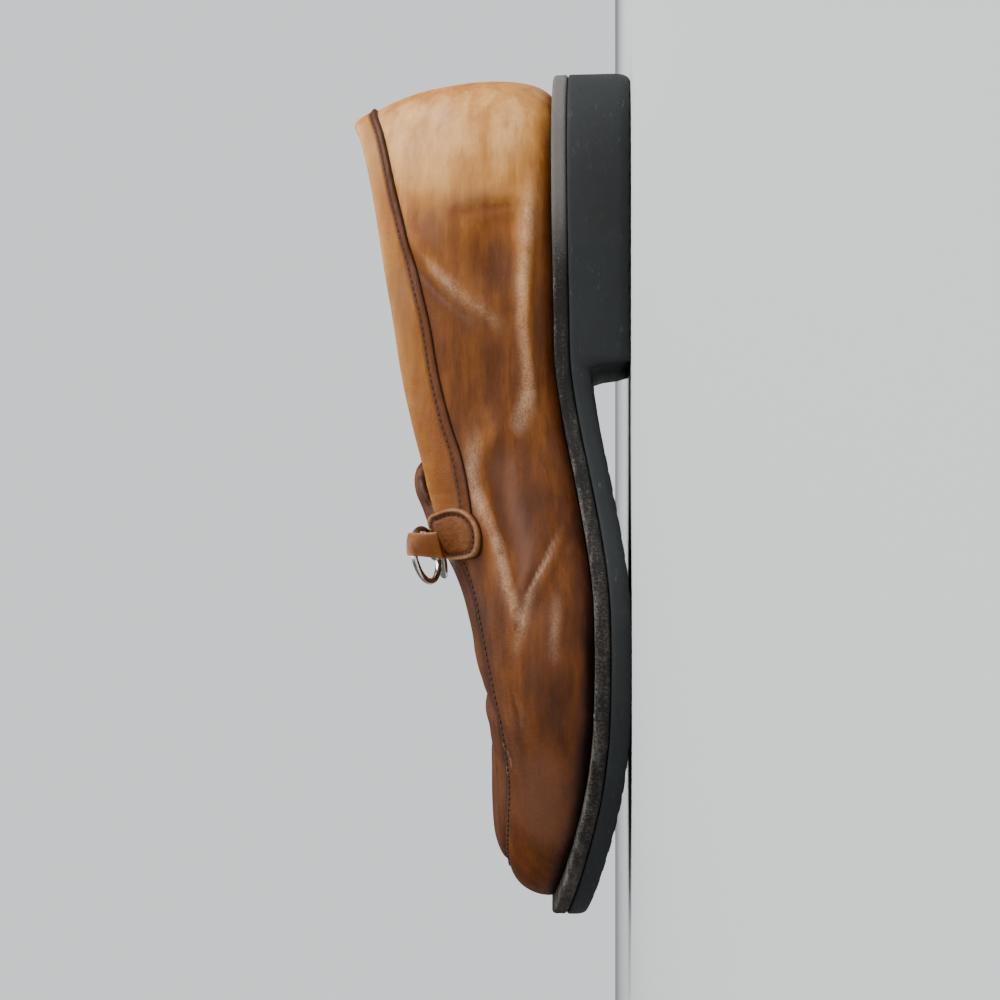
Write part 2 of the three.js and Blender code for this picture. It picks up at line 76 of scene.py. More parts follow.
def smooth_columns(columns, rows, round_ends=False, widths=()):
    """Each named column as a smooth curve over the first. Round tables are mirrored at heel and toe."""
    key = walk_of if round_ends else float
    knots = [key(row[0]) for row in rows]
    curves = {}
    for column, name in enumerate(columns.split()[1:], 1):
        values = [row[column] for row in rows]
        sign = -1 if name in widths else 1
        before = (-knots[1], sign * values[1]) if round_ends else (knots[0], values[0])
        after = (2 - knots[-2], sign * values[-2]) if round_ends else (knots[-1], values[-1])
        places = [before, *zip(knots, values), after]
        slopes = [(c[1] - a[1]) / (c[0] - a[0]) for a, c in zip(places, places[2:])]

        def read(share, values=values, slopes=slopes):
            place = clamp(key(share), knots[0], knots[-1])
            i = clamp(bisect.bisect_right(knots, place) - 1, 0, len(knots) - 2)
            span = knots[i + 1] - knots[i]
            u = (place - knots[i]) / span
            risen = values[i] * (1 + 2 * u) * (1 - u) ** 2 + values[i + 1] * u * u * (3 - 2 * u)
            return risen + span * (slopes[i] * u * (1 - u) ** 2 - slopes[i + 1] * u * u * (1 - u))

        curves[name] = read
    return SimpleNamespace(**curves)


OUTLINE = smooth_columns("at inner outer", [
    (0, 0, 0), (0.02, 0.185, 0.185), (0.06, 0.28, 0.28), (0.12, 0.322, 0.325),
    (0.2, 0.327, 0.335), (0.3, 0.303, 0.322), (0.4, 0.282, 0.318), (0.5, 0.327, 0.372),
    (0.6, 0.418, 0.463), (0.66, 0.465, 0.492), (0.72, 0.492, 0.497), (0.78, 0.482, 0.47),
    (0.85, 0.432, 0.415), (0.91, 0.356, 0.342), (0.96, 0.254, 0.248), (0.985, 0.162, 0.16),
    (1, 0, 0),
], round_ends=True, widths=("inner", "outer"))

PITCH = smooth_columns("at seat", [
    (0, 1), (0.15, 0.99), (0.3, 0.955), (0.359, 0.93), (0.42, 0.8), (0.48, 0.625), (0.54, 0.46),
    (0.595, 0.345), (0.64, 0.306), (0.72, 0.306), (0.775, 0.345), (0.84, 0.47), (0.92, 0.73),
    (1, 1.05),
])


def seat_height(share):
    return SEAT_HEIGHT * PITCH.seat(share)


def walk_side(turn):
    """A turn goes once round the shoe: 0 at the heel, up the outer side to 1 at the toe, and back to 2."""
    turn %= 2
    return (turn, 1) if turn <= 1 else (2 - turn, -1)


def share_at(turn):
    return share_of(walk_side(turn)[0])


def turn_at(walk, side):
    return walk if side > 0 else 2 - walk


def sole_plan(turn):
    walk, side = walk_side(turn)
    share = share_of(walk)
    half = OUTLINE.outer(share) if side > 0 else OUTLINE.inner(share)
    return Vector((LENGTH * share, side * BALL_WIDTH * half))


@lru_cache(None)
def outward(turn):
    along = sole_plan(turn + EDGE_STEP) - sole_plan(turn - EDGE_STEP)
    return Vector((-along.y, along.x)).normalized()


def edge_point(turn, inset, height):
    plan = sole_plan(turn) - outward(turn) * inset
    return Vector((plan.x, plan.y, height))


sides = [sole_plan(step / 200).y for step in range(401)]
MIDDLE = Vector((LENGTH / 2, (max(sides) + min(sides)) / 2, 0))


def in_frame(point):
    """From millimetres on the shoe to metres in the frame."""
    return (point - MIDDLE) * MM


def sheet(columns, rows, place, tone=None, rub=None, closed=False, flip=False):
    """A grid with its vertex at column i and row j at place(i, j), its tone, and its painted sheen and
    shade for the finish.
    """
    bm = bmesh.new()
    tones = bm.verts.layers.float.new("tone")
    sheen_and_shade_layer = bm.verts.layers.float.new("rub")
    bmesh.ops.create_grid(bm, x_segments=columns, y_segments=rows, size=0.5)
    for vert in bm.verts:
        i, j = round((vert.co.x + 0.5) * columns), round((vert.co.y + 0.5) * rows)
        point = place(i, j)
        if tone:
            vert[tones] = tone(i, j, point)
        if rub:
            vert[sheen_and_shade_layer] = rub(i, j, point)
        vert.co = in_frame(point)
    bmesh.ops.remove_doubles(bm, verts=bm.verts[:], dist=1e-6)
    if closed:
        bmesh.ops.recalc_face_normals(bm, faces=bm.faces[:])
    elif flip:
        bmesh.ops.reverse_faces(bm, faces=bm.faces[:])
    return bm


def in_scene(name, data):
    made = bpy.data.objects.new(name, data)
    bpy.context.scene.collection.objects.link(made)
    return made


def as_object(name, bm, finish):
    mesh = bpy.data.meshes.new(name)
    bm.to_mesh(mesh)
    bm.free()
    mesh.materials.append(finish)
    return in_scene(name, mesh)


def piece(name, bm, finish, slot, *replaced, thickness=0):
    """Turns a bmesh into a finished piece of the shoe, with a wall of leather behind an open sheet."""
    made = as_object(name, bm, finish)
    for polygon in made.data.polygons:
        polygon.use_smooth = True
    if thickness:
        wall = made.modifiers.new("wall", "SOLIDIFY")
        wall.thickness = thickness * MM
        wall.offset = -1
    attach(made, "root")
    if replaced:
        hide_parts(*replaced)
    return made


def layer(walks, levels, across=10, tone=None):
    """A closed layer of the sole. Each section goes over the top, down one edge, below and back up."""
    last = len(levels) - 1

    def place(i, j):
        outer, inner = walks[i], 2 - walks[i]
        if j <= across:
            return levels[0](inner).lerp(levels[0](outer), j / across)
        j -= across
        if j <= last:
            return levels[j](outer)
        j -= last
        if j <= across:
            return levels[-1](outer).lerp(levels[-1](inner), j / across)
        return levels[last - (j - across)](inner)

    return sheet(len(walks) - 1, 2 * (across + last), place, tone, closed=True)


class Signal:
    """An output of a node. Arithmetic on it adds Math nodes, and node() adds any other kind."""

    def __init__(self, tree, socket=None):
        self.tree = tree
        self.socket = socket

    def node(self, kind, settings=None, sockets=None, out=None):
        made = self.tree.nodes.new("ShaderNode" + kind)
        for name, value in (settings or {}).items():
            if name == "stops":
                ramp = made.color_ramp
                while len(ramp.elements) < len(value):
                    ramp.elements.new(0.5)
                for element, (place, colour) in zip(ramp.elements, value):
                    element.position = place
                    element.color = colour
            else:
                setattr(made, name, value)
        for name, value in (sockets or {}).items():
            usable = [s for s in made.inputs if s.enabled]
            target = usable[name] if isinstance(name, int) else next(s for s in usable if s.name == name)
            if isinstance(value, Signal):
                self.tree.links.new(value.socket, target)
            else:
                target.default_value = value
        usable = [s for s in made.outputs if s.enabled]
        found = usable[0] if out is None else next(s for s in usable if s.name == out)
        return Signal(self.tree, found)

    def math(self, operation, *values):
        return self.node("Math", {"operation": operation}, dict(enumerate(values)))

    def __add__(self, other):
        return self.math("ADD", self, other)

    def __radd__(self, other):
        return self.math("ADD", other, self)

    def __sub__(self, other):
        return self.math("SUBTRACT", self, other)

    def __rsub__(self, other):
        return self.math("SUBTRACT", other, self)

    def __mul__(self, other):
        return self.math("MULTIPLY", self, other)

    def __rmul__(self, other):
        return self.math("MULTIPLY", other, self)

    def between(self, low, high):
        """0 below low, 1 above high, and smooth in between."""
        settings = {"interpolation_type": "SMOOTHSTEP"}
        return self.node("MapRange", settings, {"Value": self, "From Min": low, "From Max": high})

    def over(self, colour, other):
        """From one colour to the other as this goes from 0 to 1."""
        sockets = {"Factor": self, "A": colour, "B": other}
        return self.node("Mix", {"data_type": "RGBA"}, sockets)


def paint(red, green, blue):
    """A colour as a picture shows it, from 0 to 255, as the finish needs it."""
    parts = (value / 255 for value in (red, green, blue))
    return (*(p / 12.92 if p <= 0.04045 else ((p + 0.055) / 1.055) ** 2.4 for p in parts), 1)


def new_finish(name, **shader):
    """A material, the object coordinates in it, and its Principled shader with the values set on it."""
    finish = bpy.data.materials.new(name)
    finish.use_nodes = True
    shine = finish.node_tree.nodes["Principled BSDF"]
    for socket, value in shader.items():
        shine.inputs[socket.replace("_", " ")].default_value = value
    return finish, Signal(finish.node_tree).node("TexCoord", out="Object"), shine


def feed(shine, **signals):
    """Links what changes over the surface to the shader's sockets."""
    for socket, signal in signals.items():
        signal.tree.links.new(signal.socket, shine.inputs[socket.replace("_", " ")])


def speckle(place, scale, detail=3.0, roughness=0.6, stretch=None, distortion=0.0):
    """Noise on the object's coordinates, in marks 1 / scale metres wide and drawn out by stretch."""
    if stretch:
        place = place.node("Mapping", None, {"Vector": place, "Scale": stretch})
    sockets = {"Vector": place, "Scale": scale, "Detail": detail, "Roughness": roughness,
               "Distortion": distortion}
    return place.node("TexNoise", None, sockets)


def relief(shine, height, distance):
    """Raises the finish by height times distance, in metres."""
    feed(shine, Normal=height.node("Bump", None, {"Height": height, "Distance": distance}))


rubber, place, shine = new_finish("black_rubber", IOR=1.5, Specular_IOR_Level=0.35)
cloud = speckle(place, 26, 4)
scuff = speckle(place, 340, 4, 0.75, stretch=(0.5, 1, 1.6)).between(0.6, 0.74)
dust = speckle(place, 90, 5, 0.8).between(0.52, 0.8)
black = cloud.between(0.3, 0.7).over(paint(14, 17, 18), paint(24, 28, 29))
dusty = (dust * 0.28).over(black, paint(56, 58, 57))
feed(
    shine,
    Base_Color=(scuff * 0.3).over(dusty, paint(84, 86, 84)),
    Roughness=0.62 + cloud * 0.2 + dust * 0.1,
)
relief(shine, speckle(place, 900, 4, 0.7) + scuff * 0.5, 0.00012)

breast_walks = [walk_of(share) for share in HEEL_BREAST]
rubber_walks = [step / RUBBER_COLUMNS for step in range(RUBBER_COLUMNS + 1)]
rubber_walks = [w for w in rubber_walks if all(abs(w - b) > BREAST_CLEARANCE for b in breast_walks)]
rubber_walks = sorted(rubber_walks + [b + way * BREAST_CORNER for b in breast_walks for way in (-1, 1)])


def tread_height(turn):
    """Underside of the rubber: the floor under the heel, and the thin sole before the breast."""
    share = share_at(turn)
    before, after = (share_of(w) for w in breast_walks)
    return clamp((share - before) / (after - before)) * max(0, seat_height(share) - OUTSOLE_THICKNESS)


def rubber_level(inset, from_top=None, up_round=None):
    """One level of the rubber's edge, measured from the top, or from the tread in shares of its round."""
    def level(turn):
        share = share_at(turn)
        if from_top is not None:
            return edge_point(turn, inset, seat_height(share) - from_top)
        rounding = HEEL_EDGE_ROUND if share <= HEEL_BREAST[1] else SOLE_EDGE_ROUND
        return edge_point(turn, rounding * inset, tread_height(turn) + rounding * up_round)
    return level


from_tops = [(3, 0), (0.5, 0), (0.15, 0.2), (0, 0.6), (0, 1.6)]
up_rounds = [(0.04, 1.1), (0.1, 0.8), (0.2, 0.45), (0.38, 0.16), (0.65, 0.03), (1.1, 0)]
rubber_levels = [rubber_level(inset, from_top=down) for inset, down in from_tops]
rubber_levels += [rubber_level(inset, up_round=up) for inset, up in up_rounds]
unit = layer(rubber_walks, rubber_levels, across=16)
for vert in unit.verts:
    if vert.normal.z < -0.8:
        bar = math.cos(2 * math.pi * (vert.co.x / MM + MIDDLE.x) / TREAD_BAR_PITCH)
        vert.co.z += MM * TREAD_BAR_DEPTH * clamp(bar * 3 - 1.2)
piece("rubber_unit", unit, rubber, "rubber", "outsole")


# Midsole: the layer of leather whose edge shows all round as the welt. It is dark, worn grey and
# fuzzy at its edge, most of all at the heel, and sewn and cemented between rubber and upper.
MIDSOLE_THICKNESS = 5
EDGE_COLUMNS = 260


def under_midsole(share):
    return seat_height(share) + FIT


def over_midsole(share):
    return under_midsole(share) + MIDSOLE_THICKNESS


def tone_by_height(i, j, point):
    """How high the point lies in the midsole's edge, from 0 below to 1 on top."""
    share = point.x / LENGTH
    return (point.z - under_midsole(share)) / MIDSOLE_THICKNESS


def ripple(x, y, z):
    """Smooth noise from -1 to 1."""
    return noise.noise(Vector((x, y, z)))


def midsole_level(inset, below):
    def level(turn):
        worn = ripple(turn * 90, below * 0.6, 3) * 0.12 + ripple(turn * 400, below * 1.5, 8) * 0.06
        edge = inset + (worn if inset < 2 else 0)
        return edge_point(turn, edge, over_midsole(share_at(turn)) - below)
    return level


def painted(place, name):
    """Reads the tone, and likewise the painted sheen and shade, of a piece's vertices, in the same finish
    as place.
    """
    return place.node("Attribute", {"attribute_name": name}, out="Fac")


welt, place, shine = new_finish("worn_edge_leather", Specular_IOR_Level=0.2)
tone = painted(place, "tone")
along = place.node("SeparateXYZ", None, {"Vector": place}, out="X")
cloud = speckle(place, 75, 5, 0.7, stretch=(0.5, 1, 1))
fuzz = speckle(place, 1700, 4, 0.8, stretch=(1, 1, 0.6))
streak = speckle(place, 260, 3, 0.6, stretch=(0.25, 0.6, 1.6))
forefoot = along.between(-0.03, 0.05)
worn = (fuzz + cloud * 0.5 + streak * 0.5 + forefoot * 0.06).between(0.98, 1.3)
heel_end = 1 - along.between(-0.105, -0.07)
toe_end = along.between(0.1, 0.145)
base = forefoot.over(paint(34, 32, 31), toe_end.over(paint(34, 28, 25), paint(70, 61, 54)))
dark = (cloud.between(0.3, 0.6) * 0.6 + heel_end * 0.35 + 0.05).over(paint(20, 18, 17), base)
dark = (heel_end * 0.75).over(dark, paint(104, 101, 97))
top_edge = tone.between(0.72, 1.0)
feed(
    shine,
    Base_Color=(worn * (0.26 + top_edge * 0.6)).over(dark, paint(128, 123, 116)),
    Roughness=0.72 + fuzz * 0.25,
)
relief(shine, fuzz + streak * 0.8, 0.0003)

midsole_levels = [midsole_level(inset, below) for inset, below in (
    (9, 0), (1.1, 0), (0.45, 0.25), (0.1, 0.75), (0, 1.5), (0.05, 2.4),
    (0.05, 3.3), (0, 4.1), (0.25, 4.6), (0.8, 4.95), (2, 5.3), (9, 5.3),
)]
even_walks = [step / EDGE_COLUMNS for step in range(EDGE_COLUMNS + 1)]
piece("midsole_edge", layer(even_walks, midsole_levels, 8, tone_by_height), welt, "edge_leather", "midsole")


# Insole with its sock: a board of leather inside the foot of the upper, covered with a thin tan
# sock that is darker and smoother where the foot stands on it.
LEATHER = 2
INSOLE_THICKNESS = 2.5

WALL = smooth_columns("at inset belly_out belly_up shoulder_out shoulder_up", [
    (0, 0.075, 0.093, 0.082, 0.098, 0.63), (0.08, 0.066, 0.085, 0.082, 0.085, 0.58),
    (0.15, 0.056, 0.075, 0.082, 0.075, 0.55), (0.25, 0.054, 0.061, 0.082, 0.072, 0.5),
    (0.35, 0.054, 0.055, 0.082, 0.078, 0.46), (0.45, 0.054, 0.055, 0.082, 0.08, 0.45),
    (0.6, 0.054, 0.052, 0.082, 0.052, 0.42), (0.72, 0.054, 0.045, 0.075, 0.028, 0.35),
    (0.84, 0.054, 0.036, 0.075, 0.01, 0.28), (0.95, 0.056, 0.022, 0.075, -0.02, 0.225),
    (1, 0.058, 0.01, 0.075, -0.036, 0.212),
], round_ends=True)


def insole_level(inset, above):
    def level(turn):
        share = share_at(turn)
        edge = BALL_WIDTH * WALL.inset(share) + LEATHER + 2 * FIT
        return edge_point(turn, edge + inset, over_midsole(share) + FIT + above)
    return level


sock, place, shine = new_finish("sock_leather")
cloud = speckle(place, 40, 4, 0.6)
trodden = speckle(place, 14, 2, 0.5).between(0.4, 0.62)
tan = cloud.between(0.3, 0.7).over(paint(150, 108, 70), paint(176, 134, 94))
feed(
    shine,
    Base_Color=(trodden * 0.45).over(tan, paint(96, 68, 48)),
    Roughness=0.5 + cloud * 0.25,
)
relief(shine, speckle(place, 1300, 3, 0.6), 0.0001)
insole_levels = [insole_level(inset, above) for inset, above in (
    (4, INSOLE_THICKNESS + 0.35), (1.2, INSOLE_THICKNESS + 0.25), (0.3, INSOLE_THICKNESS),
    (0, INSOLE_THICKNESS - 0.6), (0, 0.5), (0.4, 0.1), (4, 0),
)]
piece("insole_sock", layer(even_walks[::2], insole_levels, 12), sock, "lining", "insole")


# Side wall of the upper: one piece of burnished calf leather round the whole shoe, lasted over the
# insole and tucked in above the welt. It is peach tan and streaked at the heel, brown at the vamp
# and dark at the toe and along the welt, partly by painted shade at the toe and in the crevice by
# the welt, and its creases are those of a worn shoe, with painted shade in their hollows and a
# painted sheen on their folds.
BACK_HEIGHT = 73
INSTEP_HEIGHT = 57.5
STRAP_SHARE = 0.53
STRAP_WALK = walk_of(STRAP_SHARE)
SKIN = 1.1
CREASE_DEPTH = 1.35
WALL_TUCK = 3.5
HEIGHT_STEPS = 40
WALL_COLUMNS, WALL_ROWS = 420, 72

RIM = smooth_columns("at x outer inner rim crest", [
    (0, 0.053, 0, 0, 1, 1), (0.03, 0.063, 0.118, 0.118, 0.975, 1),
    (0.08, 0.095, 0.195, 0.195, 0.915, 1), (0.15, 0.153, 0.243, 0.24, 0.855, 1),
    (0.25, 0.25, 0.275, 0.262, 0.79, 1), (0.35, 0.349, 0.297, 0.275, 0.727, 1),
    (0.45, 0.448, 0.302, 0.28, 0.7, 1), (0.53, 0.525, 0.287, 0.275, 0.685, 1),
    (0.6, 0.59, 0.278, 0.272, 0.589, 0.877), (0.66, 0.65, 0.285, 0.28, 0.541, 0.79),
    (0.72, 0.71, 0.293, 0.288, 0.494, 0.735), (0.78, 0.765, 0.289, 0.287, 0.436, 0.665),
    (0.84, 0.815, 0.272, 0.275, 0.381, 0.617), (0.9, 0.862, 0.245, 0.249, 0.351, 0.571),
    (0.95, 0.903, 0.195, 0.199, 0.322, 0.505), (0.98, 0.929, 0.128, 0.13, 0.288, 0.425),
    (1, 0.938, 0, 0, 0.268, 0.34),
], round_ends=True, widths=("outer", "inner"))

# The main creases. Each runs through three places on one side of the shoe, 1 for the outer side. It
# stands up by its height, or sinks in where that is below 0. Wide ones are folds, narrow ones cracks.
CREASES = [
    # side, x0, z0, x1, z1, x2, z2, half width, height
    (1, 44, 33.5, 75, 35.5, 118, 33.5, 2.5, 1.35),
    (1, 53, 36, 53.5, 47, 55, 60, 1.7, -0.75),
    (1, 49, 37, 50, 47, 51, 58, 2.4, 0.4),
    (1, 58, 51, 72, 48, 84, 44, 8.5, -1.9),
    (1, 60, 77, 77, 64, 92, 44, 2.8, 1.2),
    (1, 62, 83, 84, 64, 101, 48, 3.0, -0.65),
    (1, 92, 45, 108, 46, 124, 47, 5.0, -0.7),
    (1, 126, 42, 130, 45, 140, 52, 3.6, 0.7),
    (1, 140, 54, 166, 44, 193, 36, 3.2, 1.15),
    (1, 134, 43, 150, 42, 176, 33, 4.0, -0.95),
    (1, 158, 22.5, 171, 28, 184, 35, 0.6, -0.6),
    (1, 160, 20.5, 173, 26, 187, 33, 1.2, 0.5),
    (1, 176, 37, 186, 35.5, 197, 37, 1.3, -0.35),
    (1, 172, 33, 184, 36, 204, 41, 1.8, 0.55),
    (1, 200, 30, 214, 27, 224, 20, 3.6, -0.45),
    (1, 233, 44, 238, 40, 243, 38, 0.6, -0.3),
    (1, 236, 45, 241, 41.5, 247, 40, 0.7, 0.25),
    (1, 218, 44, 222, 37, 228, 32, 1.2, -0.28),
    (1, 224, 44, 229, 38, 234, 32, 1.4, 0.22),
    (1, 20, 84, 34, 78, 52, 74, 4.5, 0.35),
    (-1, 56, 36, 78, 38, 104, 38, 3.2, 0.7),
    (-1, 62, 52, 78, 49, 92, 46, 8.0, -0.9),
    (-1, 130, 49, 158, 47, 188, 37, 4.6, 0.7),
    (-1, 120, 37, 148, 36, 176, 28, 6.0, -0.6),
    (-1, 166, 24, 178, 30, 190, 38, 0.7, -0.4),
    (-1, 206, 42, 213, 33, 218, 22, 1.3, -0.42),
    (-1, 212, 43, 219, 34, 225, 23, 1.6, 0.3),
    (-1, 228, 42, 234, 34, 238, 24, 1.1, -0.35),
    (-1, 198, 31, 212, 27, 224, 20, 3.6, -0.4),
]


def hump(value, middle, width):
    """1 at the middle, and falling off smoothly to both sides of it."""
    return math.exp(-(((value - middle) / width) ** 2))


def along_lines(rows, x, z, side):
    """Sum of a table's lines at a place on the wall, each fading at its ends and to its sides."""
    total = 0.0
    here = Vector((x, z))
    for row in rows:
        knots = [Vector(row[n:n + 2]) for n in (1, 3, 5)]
        width, height = row[7:]
        too_far = 32 + 3 * width
        if row[0] != side or min((here - knot).length for knot in knots) > too_far:
            continue
        nearest, fade = 1e9, 0.0
        for leg in (0, 1):
            line = knots[leg + 1] - knots[leg]
            u = clamp((here - knots[leg]).dot(line) / line.length_squared)
            gap = (here - knots[leg] - line * u).length
            if gap < nearest:
                nearest = gap
                fade = math.sin(math.pi * (0.04 + 0.92 * (leg + u) / 2)) ** 0.8
        total += height * fade * hump(nearest, 0, width)
    return total


def crease_height(x, z, side):
    return along_lines(CREASES, x, z, side)


@lru_cache(None)
def wall_knots(turn):
    """The four control points of the wall's profile at a turn, from the midsole to the rim."""
    walk, side = walk_side(turn)
    share = share_of(walk)
    out = outward(turn)
    bottom = edge_point(turn, BALL_WIDTH * WALL.inset(share), over_midsole(share) + FIT)

    def swell(reach, rise):
        return bottom + Vector((out.x * BALL_WIDTH * reach, out.y * BALL_WIDTH * reach, BACK_HEIGHT * rise))

    half = RIM.outer(share) if side > 0 else RIM.inner(share)
    x = RIM.x(share)
    rim = Vector((LENGTH * x, side * BALL_WIDTH * half, over_midsole(x) + BACK_HEIGHT * RIM.rim(share)))
    return (
        bottom,
        swell(WALL.belly_out(share), WALL.belly_up(share)),
        swell(WALL.shoulder_out(share), WALL.shoulder_up(share)),
        rim,
    )


def wall_point(turn, up):
    """Smooth outer face of the wall: up is 0 at the midsole and 1 at the rim."""
    a, b, c, d = wall_knots(round(turn % 2, 6))
    left = 1 - up
    return a * left ** 3 + b * (3 * up * left * left) + c * (3 * up * up * left) + d * up ** 3


def wall_normal(turn, up):
    rise = wall_point(turn, min(up + 0.01, 1)) - wall_point(turn, up - 0.01)
    along = wall_point(turn + 0.004, up) - wall_point(turn - 0.004, up)
    return rise.cross(along).normalized()


def on_wall(turn, up, lift=0.0, creased=True):
    """A place on the leather of the wall, or lift millimetres off it."""
    point = wall_point(turn, up)
    side = walk_side(turn)[1]
    if creased:
        ends = min(1, 8 * up, 0.25 + 6 * (1 - up))
        swell = noise.noise(point * 0.035) * 0.5 + noise.noise(point * 0.11) * 0.14
        lift += ends * (CREASE_DEPTH * crease_height(point.x, point.z, side) + swell)
    return point + wall_normal(turn, up) * lift


@lru_cache(None)
def wall_heights(turn):
    return [wall_point(turn, step / HEIGHT_STEPS).z for step in range(HEIGHT_STEPS + 1)]


def up_at(turn, height):
    """How far up the wall a height above the floor is reached."""
    heights = wall_heights(round(turn % 2, 6))
    i = clamp(bisect.bisect_right(heights, height) - 1, 0, HEIGHT_STEPS - 1)
    return clamp((i + (height - heights[i]) / (heights[i + 1] - heights[i])) / HEIGHT_STEPS)


# Tone of the leather along the shoe, from 0, near black, to 1, pale peach: on the wall, what the
# dark burnish and the painted shade of the crevice by the welt take off it, and on the apron.
TONES = smooth_columns("at wall welt apron", [
    (0, 0.79, 0.16, 0.48), (0.08, 0.79, 0.2, 0.48), (0.15, 0.76, 0.22, 0.48), (0.2, 0.64, 0.22, 0.48),
    (0.3, 0.57, 0.22, 0.48), (0.4, 0.515, 0.22, 0.48), (0.5, 0.47, 0.24, 0.46), (0.6, 0.455, 0.28, 0.45),
    (0.7, 0.435, 0.33, 0.44), (0.8, 0.42, 0.36, 0.42), (0.9, 0.42, 0.36, 0.41), (1, 0.42, 0.32, 0.4),
])

# Patches of the outer side where the burnish is lighter or darker, with painted shade in the hollows and
# painted highlight on the folds.
TONE_AND_SHADE_PATCHES = [
    # x, z, reach x, reach z, change
    (30, 62, 16, 20, 0.05), (74, 48, 16, 11, -0.02), (56, 48, 3, 12, -0.1), (64, 68, 9, 6, -0.07),
    (46, 30, 8, 8, -0.04), (96, 60, 18, 8, -0.08), (118, 42, 20, 8, -0.05), (90, 52, 5, 4, -0.06),
    (158, 32, 16, 8, -0.06), (196, 33, 9, 6, 0.04), (190, 50, 16, 6, -0.06), (214, 40, 12, 8, 0.04),
    (236, 30, 14, 9, -0.04), (262, 30, 10, 7, 0.04), (8, 55, 5, 26, -0.06), (34, 48, 14, 3, -0.07),
    (26, 54, 12, 2, -0.06), (30, 59, 10, 1.6, 0.05), (28, 44, 12, 1.8, 0.06), (142, 60, 16, 4, -0.03),
]

# Lines of painted sheen, a pale painted highlight along the raised folds, and, where the strength is below
# 0, of painted plum shade in the hollows.
SHEEN_AND_SHADE_LINES = [
    # side, x0, z0, x1, z1, x2, z2, half width, strength
    (1, 44, 34, 62, 34.5, 82, 36, 2.5, 0.56), (1, 70, 36, 92, 36, 112, 33.5, 2.4, 0.42),
    (1, 104, 34.5, 116, 34, 130, 38, 2.8, 0.49), (1, 122, 38, 129, 42, 138, 50, 3.6, 0.29),
    (1, 60, 76, 76, 64.5, 88, 53, 2.2, 0.49), (1, 82, 58, 88, 50, 95, 43, 1.8, 0.32),
    (1, 128, 51, 147, 53, 158, 48, 3, 0.42), (1, 150, 51, 167, 43.5, 186, 39, 2.3, 0.5),
    (1, 176, 41, 187, 38, 195, 35, 2.2, 0.3), (1, 174, 31, 186, 34, 206, 39, 1.8, 0.32),
    (1, 164, 24.5, 174, 29, 184, 34.5, 0.6, 0.55), (1, 182, 24, 192, 24.5, 204, 25, 1.7, 0.24),
    (1, 232, 45, 238, 40.5, 244, 39.5, 0.5, 0.6), (1, 236, 46, 242, 42, 248, 41, 0.45, 0.5),
    (1, 12, 66, 23, 65, 36, 67, 5.5, 0.35), (1, 16, 82, 30, 77, 48, 72, 3.3, 0.32),
    (1, 14, 40, 24, 40, 38, 41, 4.5, 0.24), (1, 212, 40, 222, 36, 232, 36, 1.5, 0.2),
    (1, 50, 60, 60, 70, 74, 66, 6, -0.5), (1, 46, 40, 50, 50, 52, 62, 3.2, -0.6),
    (1, 66, 31, 92, 32, 118, 31, 2.2, -0.45), (1, 120, 44, 140, 44, 164, 38, 5, -0.6),
    (1, 150, 40, 168, 36, 182, 34, 3.4, -0.65), (1, 230, 27, 252, 29, 272, 29, 10, -1),
    (1, 204, 44, 222, 41, 240, 38, 3, -0.35), (1, 90, 70, 112, 68, 140, 62, 4, -0.3),
    (-1, 52, 36, 78, 38, 104, 38, 3.3, 0.42), (-1, 130, 49, 158, 47, 188, 37, 3.6, 0.42),
    (-1, 166, 24, 178, 30, 190, 38, 0.8, 0.44), (-1, 14, 62, 26, 62, 40, 64, 5.5, 0.32),
    (-1, 210, 42, 217, 34, 223, 23, 1.5, 0.32), (-1, 120, 42, 142, 42, 166, 36, 5, -0.55),
    (-1, 48, 44, 56, 54, 66, 62, 5, -0.5), (-1, 228, 28, 250, 28, 270, 28, 8, -0.45),
]


# Painted sheen on the wall's folds and painted shade in its hollows, from the table's lines.
def wall_sheen_and_shade(i, j, point):
    return along_lines(SHEEN_AND_SHADE_LINES, point.x, point.z, walk_side(2 * i / WALL_COLUMNS)[1])


def wall_tone(i, j, point):
    """Tone of the burnish on the wall, darker by the welt, with painted shade of the crevice there, and by
    the seams; with painted shade in the creases' troughs, and rubbed lighter on their ridges.
    """
    side = walk_side(2 * i / WALL_COLUMNS)[1]
    up = max(j - 1, 0) / (WALL_ROWS - 1)
    share = clamp(point.x / LENGTH)
    above = max(point.z - over_midsole(share), 0)
    forefoot = clamp((share - 0.5) / 0.2)
    # Darker by the welt: the dark burnish there together with painted shade of the crevice under the upper.
    burnish_and_shade = math.exp(-((above / (4.2 - 0.5 * forefoot)) ** (1.3 + 1.9 * forefoot)))
    tone = TONES.wall(share) - TONES.welt(share) * burnish_and_shade
    # Lighter on the creases' ridges, where they are rubbed, and darker in their troughs: painted shade.
    tone += 0.07 * crease_height(point.x, point.z, side)
    # Patches of painted shade in the hollows, painted highlight on the folds, and lighter and darker
    # burnish.
    if side > 0:
        for x, z, reach_x, reach_z, change in TONE_AND_SHADE_PATCHES:
            tone += change * hump(point.x, x, reach_x) * hump(point.z, z, reach_z)
    if share > STRAP_SHARE - 0.02:
        tone -= 0.1 * hump(up, 1, 0.06)
    return tone


